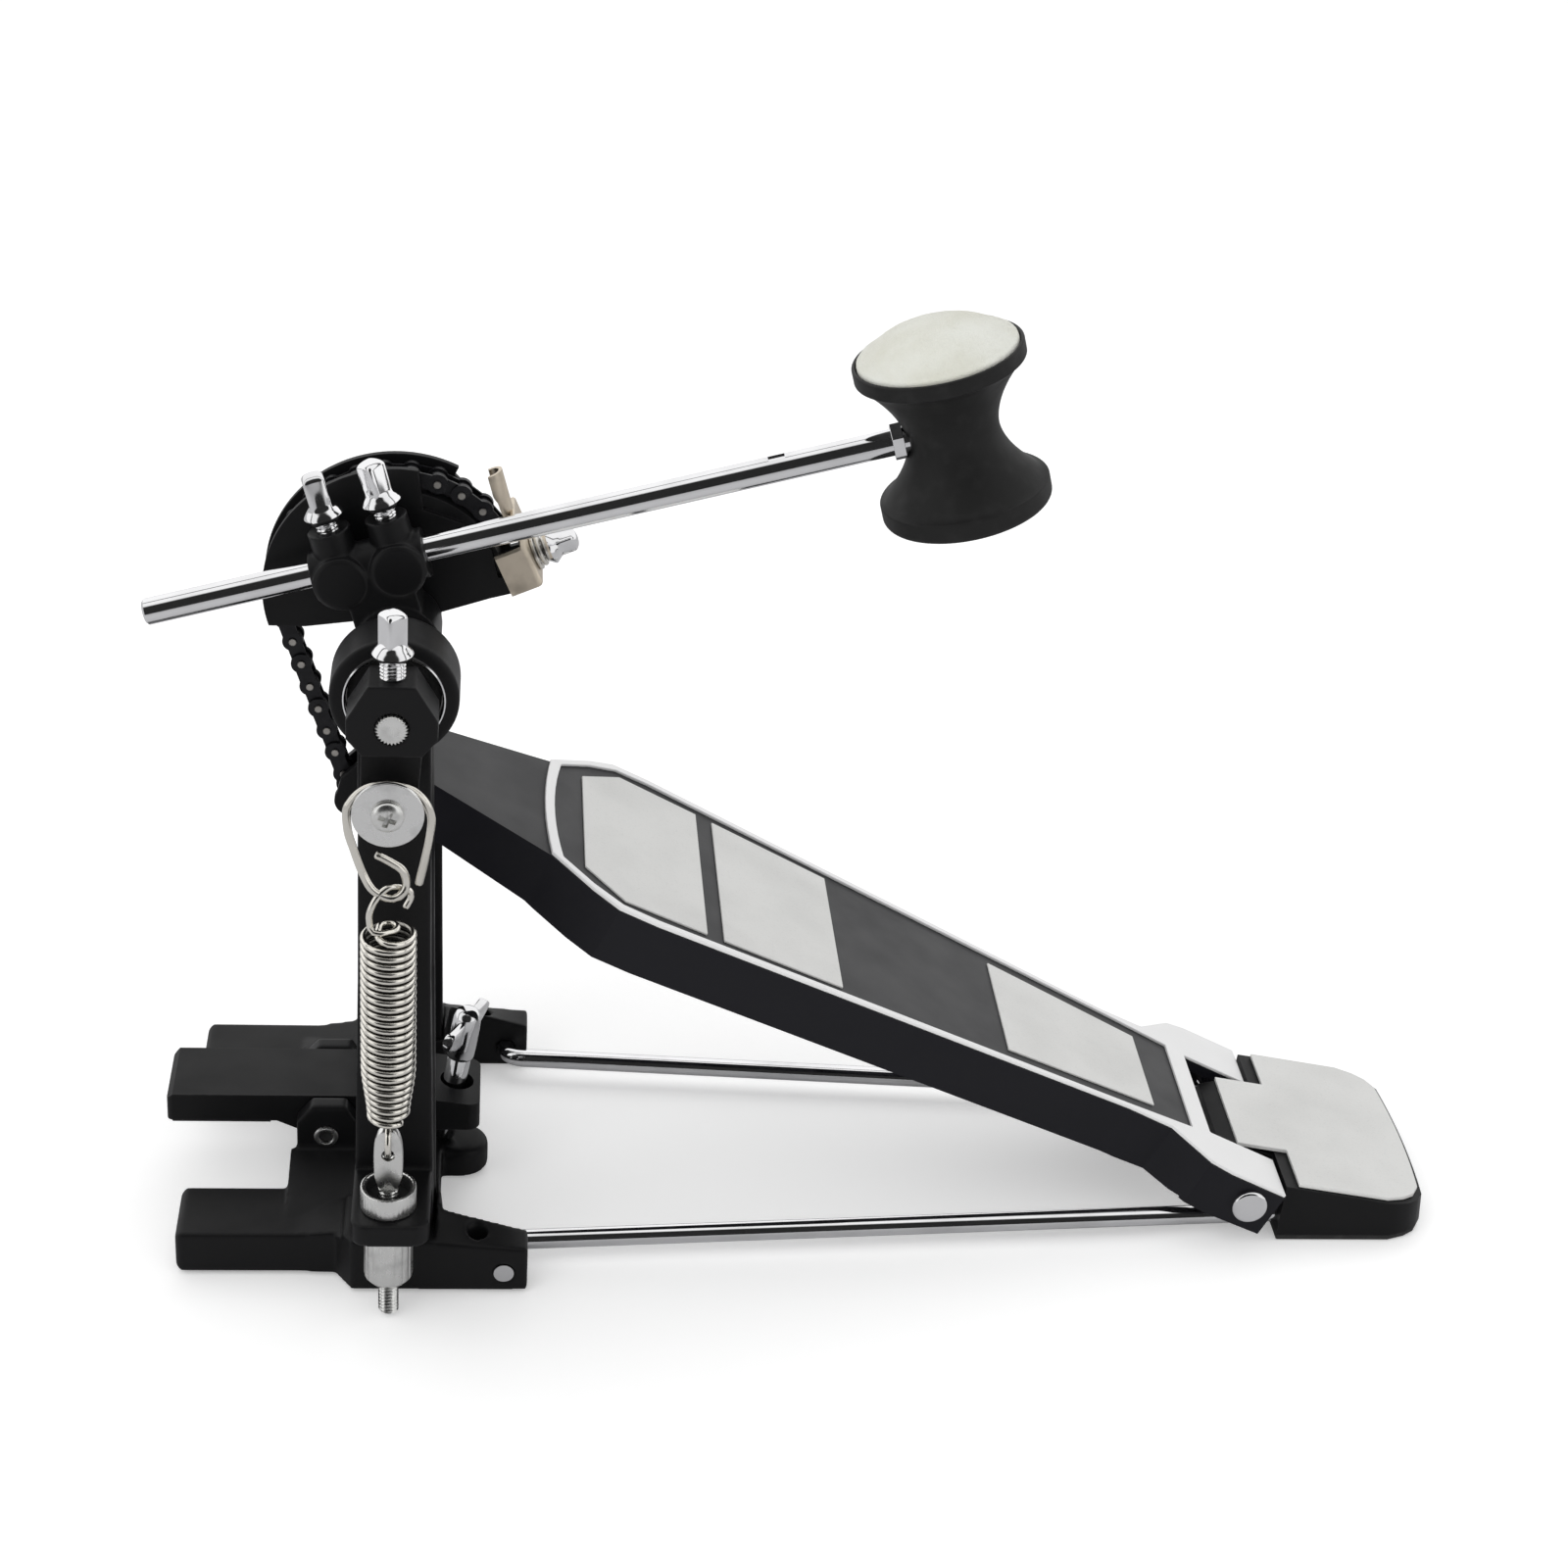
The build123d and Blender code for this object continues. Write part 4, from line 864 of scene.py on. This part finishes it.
def flat_eyebolt(material):
    """Threaded rod rolled out to a flat paddle with a hole for the spring."""
    middle_x, y, eye_z = pivot("spring_swing")
    hole_z, hole_r = eye_z + 0.2, 1.9
    low, high = 47.4, 70.9
    half_w, half_t = 4.5, 1.7
    count = 48
    front, outline = [], []
    for i in range(count):
        angle = tau * i / count
        c, s = cos(angle), sin(angle)
        x = half_w * abs(c) ** 0.62 * (1 if c > 0 else -1)
        z = (low + high) / 2 + (high - low) / 2 * abs(s) ** 0.78 * (1 if s > 0 else -1)
        x *= 1 - 0.16 * max(0, (low + 6 - z) / 6)
        outline.append((x, z))
        front.append((hole_r * c, hole_z + hole_r * s))
    rings = []
    for inset, depth in ((0.0, -0.5), (0.0, 0.5), (0.25, 0.85), (0.8, 1.0)):
        shrink = 1 - inset / half_w
        rings.append([(x * shrink, z_mid(z, low, high, inset), depth) for x, z in outline])
    rings.append([(1.12 * x, hole_z + 1.12 * (z - hole_z), 1.0) for x, z in front])
    rings.append([(x, z, 0.8) for x, z in front])
    rings.append([(x, z, -0.8) for x, z in front])
    rings.append([(1.12 * x, hole_z + 1.12 * (z - hole_z), -1.0) for x, z in front])
    for inset, depth in ((0.8, -1.0), (0.25, -0.85), (0.0, -0.5)):
        shrink = 1 - inset / half_w
        rings.append([(x * shrink, z_mid(z, low, high, inset), depth) for x, z in outline])
    paddle = skin([[Vector((x + middle_x, y - half_t * depth, z)) for x, z, depth in ring] for ring in rings], False)
    rod_low, rod_high = span("eyebolt")[0].z, low + 1.5
    rod = placed(threaded(3.2, rod_low, rod_high, 1.25, 0.5), Matrix.Translation((middle_x, y, 0)))
    piece("flat_eyebolt", "eye", material, join(rod, paddle), "eyebolt")


def z_mid(z, low, high, inset):
    """Height moved towards the middle of the paddle by an inset."""
    middle = (low + high) / 2
    return middle + (z - middle) * (1 - 2 * inset / (high - low))


# ---------------------------------------------------------------- axle and bearings
def drive_axle(material):
    """Axle with a step and a serrated end."""
    low, high = span("axle")
    length = high.y - low.y
    end, step = 4.9, 17.5

    def serrated(r, z, angle):
        if z < 2.6:
            return r - 0.7 * abs(((angle * 26 / tau) % 1) * 2 - 1)
        return r
    profile = [(0, 0.25), (2.2, 0.2), (3.9, 0.0), (4.5, 0.1), (end, 0.5), (end, 1.4), (end, 2.5), (end, 2.7), (end, step),
               (6.0, step), (6.0, length - 0.6), (5.4, length), (0, length)]
    matrix = stand((0, low.y, pivot("drive_turn").z), (0, 1, 0))
    piece("drive_axle", "drive", material, placed(lathe(profile, 208, serrated), matrix), "axle")


SNAP_R = 14.4              # wire ring in front of each bearing
SNAP_OUT = 3.1             # from the bearing's face


def bearing_seals(rubber_material, steel_material):
    """Black dust shield of each bearing, and the wire ring that keeps the bearing in."""
    z = pivot("drive_turn").z
    face = span("bearing_outer_rings")[1].y
    for side in (-1, 1):
        matrix = stand((0, side * face, z), (0, side, 0))
        shield = [(9.1, -0.2), (9.3, 0.15), (10.6, 0.3), (10.9, 0.1), (11.2, 0.3), (13.2, 0.3), (13.6, 0.05),
                  (13.7, -0.3)]
        piece("shield_near" if side < 0 else "shield_far", "frame", rubber_material,
              placed(lathe(shield, 96), matrix), slot="jaw_pad")
        wire = []
        for i in range(61):
            angle = radians(-70 + 320 * i / 60)
            wire.append((SNAP_R * cos(angle), SNAP_R * sin(angle), SNAP_OUT))
        piece("snap_ring_near" if side < 0 else "snap_ring_far", "frame", steel_material,
              placed(tube(wire, 0.55, 8), matrix), slot="bearing_outer_rings")


# ---------------------------------------------------------------- beater head
def head_matrix():
    """Local Z out of the felt face, at the middle of the head, on the rod's axis."""
    joint = "head_turn"
    out = axis("hub_screw_rear_turn")
    return stand(pivot(joint), out)


HEAD_DROP = 1.0
HEAD_R = 25.6
FELT_BASE = 22.9


def head_body(material):
    """Spool-shaped moulding with rounded rims and a shallow cup for the felt."""
    low, high = -24.5, 25.8
    profile = [(0, low), (HEAD_R - 4.0, low)] + arc(HEAD_R - 2.0, low + 2.0, 2.0, -80, 0)
    profile += [(HEAD_R, low + 5.6)] + arc(HEAD_R - 0.6, low + 6.0, 0.6, 0, 75, 4)
    waist_r, waist_z = 13.8, 0.5
    neck_low, neck_high = low + 6.8, 20.4
    for i in range(25):
        t = i / 24
        z = neck_low + (neck_high - neck_low) * t
        rise = ((z - waist_z) / ((neck_low if z < waist_z else neck_high) - waist_z)) ** 2
        profile.append((waist_r + (HEAD_R - 1.6 - waist_r) * rise ** 0.9, z))
    profile += [(HEAD_R - 0.7, 20.8)] + arc(HEAD_R - 0.6, 21.6, 0.6, -40, 0, 3)
    profile += arc(HEAD_R - 0.6, high - 0.6, 0.6, 0, 90, 4) + [(HEAD_R - 1.0, high), (HEAD_R - 1.3, high - 0.4)]
    profile += [(HEAD_R - 1.35, FELT_BASE), (0, FELT_BASE)]
    matrix = head_matrix() @ Matrix.Translation((0, 0, -HEAD_DROP))
    piece("head_body", "head", material, placed(lathe(profile, 128), matrix), "beater_head")


def felt_face(material):
    """Crowned felt disc with matted fibre relief."""
    radius, skirt, rise, rings, segments = 24.0, 3.4, 8.4, 70, 220
    profile = [(radius - 0.5, FELT_BASE), (radius, FELT_BASE + 0.8), (radius, FELT_BASE + skirt - 0.6)]
    profile += arc(radius - 1.2, FELT_BASE + skirt - 0.2, 1.2, 0, 60, 4)
    edge = radius - 1.2
    for i in range(1, rings):
        r = edge * (1 - i / rings)
        profile.append((r, FELT_BASE + skirt + 0.8 + (rise - 0.8) * (1 - (r / edge) ** 2.4)))
    verts, faces = lathe(profile + [(0, FELT_BASE + skirt + rise)], segments)
    matted = []
    for point in verts:
        soft = noise.noise(0.16 * point)
        fibre = noise.noise(Vector((1.1 * point.x, 1.1 * point.y, 3))) + 0.6 * noise.noise(2.7 * point)
        lift = 0.10 * soft + 0.09 * fibre
        matted.append(point + lift * Vector((point.x / radius, point.y / radius, 1)).normalized())
    matrix = head_matrix() @ Matrix.Translation((0, 0, -HEAD_DROP))
    piece("felt_face", "head", material, placed((matted, faces), matrix), "felt_pad")


# ---------------------------------------------------------------- wing screw
def cast_wing_screw(material):
    """Smooth cast wing screw; its wings reach up and out on both sides of a tapered hub."""
    shank = lathe([(0, 0), (2.6, 0), (3.7, 1.2), (3.9, 1.8), (3.9, 33.2), (3.7, 33.6), (3.7, 34.0), (0, 34.0)], 48)
    hub = lathe([(0, 32.6), (4.0, 32.6), (4.5, 33.0), (4.7, 34.0), (4.8, 38.0), (4.7, 45.0), (4.5, 48.5), (3.8, 50.3),
                 (2.4, 51.4), (0, 51.8)], 48)
    wings = []
    for side in (-1, 1):
        spine = spline([(side * px, 0, pz) for px, pz in ((2.0, 43.2), (6.0, 43.4), (9.5, 44.0), (12.5, 44.9), (15.2, 46.0))], 5)
        widths = []
        for k in range(len(spine)):
            t = k / (len(spine) - 1)
            widths.append(5.6 - 3.0 * t if t < 0.85 else 3.05 * (1 - ((t - 0.85) / 0.15) ** 2 * 0.6))
        wings.append(blade(spine, widths, 1.75, (0, 1, 0)))
    matrix = upright(pivot("wing_turn"), axis("wing_turn"), 67)
    piece("cast_wing_screw", "wing", material, placed(join(shank, hub, *wings), matrix), "wing_screw")


# ---------------------------------------------------------------- CAD nodes that stay
def clear_normals(node):
    mesh = NODES[node].data
    if "custom_normal" in mesh.attributes:
        mesh.attributes.remove(mesh.attributes["custom_normal"])
    for face in mesh.polygons:
        face.use_smooth = True


def round_edges(node, width, segments=3):
    """Rounds the edges of a machined part."""
    clear_normals(node)
    obj = NODES[node]
    weld = obj.modifiers.new("weld", "WELD")
    weld.merge_threshold = 0.000001
    flat = obj.modifiers.new("flat", "DECIMATE")
    flat.decimate_type = "DISSOLVE"
    flat.angle_limit = radians(0.6)
    bevel = obj.modifiers.new("edges", "BEVEL")
    bevel.width = width
    bevel.segments = segments
    bevel.limit_method = "ANGLE"
    bevel.angle_limit = radians(28)
    bevel.miter_outer = "MITER_ARC"
    shade = obj.modifiers.new("shade", "WEIGHTED_NORMAL")
    shade.keep_sharp = True


def cast_edges(node, voxel, rounds=6):
    """Rounds every inside and outside corner, as in a casting."""
    clear_normals(node)
    obj = NODES[node]
    weld = obj.modifiers.new("weld", "WELD")
    weld.merge_threshold = 0.000001
    remesh = obj.modifiers.new("skin", "REMESH")
    remesh.mode = "VOXEL"
    remesh.voxel_size = voxel
    remesh.use_smooth_shade = True
    soften = obj.modifiers.new("soften", "SMOOTH")
    soften.factor = 0.5
    soften.iterations = rounds


def paint(material, *nodes):
    for node in nodes:
        mesh = NODES[node].data
        mesh.materials.clear()
        mesh.materials.append(material)


def finish_cad_nodes():
    black = cast_black("casting_black", (0.006, 0.006, 0.0065), 0.42)
    hub_black = cast_black("hub_black", (0.006, 0.006, 0.0065), 0.38)
    # the second colour is the painted reflection on the deck's upward faces
    deck = board_black((0.009, 0.009, 0.012), (0.045, 0.045, 0.047))
    chrome = polished("chrome", (0.93, 0.93, 0.94), 0.05)
    zinc = ground_steel("zinc_plate", (0.86, 0.86, 0.85), 0.24)
    steel = ground_steel("ground_steel", (0.60, 0.60, 0.60), 0.30)
    dark_steel = ground_steel("black_steel", (0.05, 0.05, 0.055), 0.38)
    tan = ground_steel("warm_nickel", (0.70, 0.58, 0.47), 0.30)
    sole = rubber("rubber_black", (0.02, 0.02, 0.02))
    chain = chain_steel(3.3 * MM)
    silver = silver_paint("silver_edge", (0.86, 0.86, 0.86), 0.34)
    panel = grip_panel("grip_panel_light", (0.72, 0.72, 0.705))
    sheet = grip_panel("heel_sheet_light", (0.74, 0.74, 0.725))
    paint(black, "base_casting", "near_post", "far_post", "heel_plate", "clamp_jaw", "toe_clevis", "cam_wheel")
    paint(hub_black, "beater_hub", "rocker")
    paint(deck, "footboard")
    paint(chrome, "radius_rods", "beater_rod", "hinge_pin", "crank_screw", "bearing_balls",
          "chain_bolt_washer", "head_nut")
    paint(steel, "bearing_outer_rings", "bearing_inner_rings", "clamp_pivot_pin", "toe_pin", "axle")
    paint(dark_steel, "post_bolts")
    paint(tan, "chain_bracket")
    paint(zinc, "crank_washer")
    paint(sole, "foot_pads", "heel_pad", "jaw_pad")
    links = [name for name in NODES if name.startswith("chain_link_")]
    paint(chain, "chain_fixed", "chain_run", *links)
    paint(silver, "board_trim")
    paint(panel, "board_inserts")
    paint(sheet, "heel_cover")
    paint(zinc, "eyebolt", "tension_nut", "lock_nut", "stirrup", "tension_spring", "spring_lower_hook",
          "hub_screw_rear", "hub_screw_front", "rocker_screw", "chain_bolt", "wing_screw")
    paint(sole, "beater_head")
    paint(felt(), "felt_pad")
    for node, width in (("footboard", 0.9), ("heel_plate", 1.0), ("heel_cover", 0.3), ("board_trim", 0.35),
                        ("board_inserts", 0.25), ("cam_wheel", 0.35), ("chain_bracket", 0.4), ("clamp_jaw", 1.0),
                        ("toe_clevis", 0.5), ("crank_washer", 0.3), ("head_nut", 0.3), ("chain_bolt_washer", 0.3),
                        ("foot_pads", 0.3), ("heel_pad", 0.4), ("jaw_pad", 0.3)):
        round_edges(node, width * MM)
    for node, voxel in (("base_casting", 0.7), ("near_post", 0.5), ("far_post", 0.6), ("beater_hub", 0.35),
                        ("rocker", 0.3)):
        cast_edges(node, voxel * MM)


def build_pieces():
    chrome = polished("bright_chrome", (0.93, 0.93, 0.94), 0.07)
    wire = polished("nickel_wire", (0.90, 0.87, 0.80), 0.16)
    zinc = ground_steel("bright_zinc", (0.88, 0.88, 0.86), 0.24)
    head_black = moulded("head_black", (0.013, 0.013, 0.013), 0.5)
    # black rubber for the bearing shields, also the dark disc in the cup nut and painted shade in the pin's socket
    seal_and_shade = rubber("seal_and_shade_black", (0.012, 0.012, 0.012))
    clamp_screws(chrome)
    chain_screw(chrome, ground_steel("washer_steel", (0.75, 0.73, 0.68), 0.25))
    coil_axis = pivot("spring_swing") * MM
    return_spring(coil_wire("spring_wire", (0.92, 0.89, 0.82), coil_axis))
    clamp_bracket(ground_steel("warm_nickel_bracket", (0.68, 0.60, 0.49), 0.34))
    crossed_screw(zinc)
    hollow_pin(zinc, seal_and_shade)
    stirrup_wire(wire)
    tension_nuts(zinc, seal_and_shade)
    flat_eyebolt(zinc)
    drive_axle(zinc)
    bearing_seals(seal_and_shade, chrome)
    head_body(head_black)
    felt_face(felt())
    cast_wing_screw(chrome)


make_camera()
make_world()
make_floor()
area_light("key", (-0.5, -0.7, 1.1), (0.1, 0, 0.1), 0.9, 3.4)
area_light("top", (0.3, 0.5, 1.3), (0.1, 0, 0.1), 1.2, 2.8)
finish_cad_nodes()
build_pieces()

bpy.context.scene.view_settings.view_transform = "Standard"
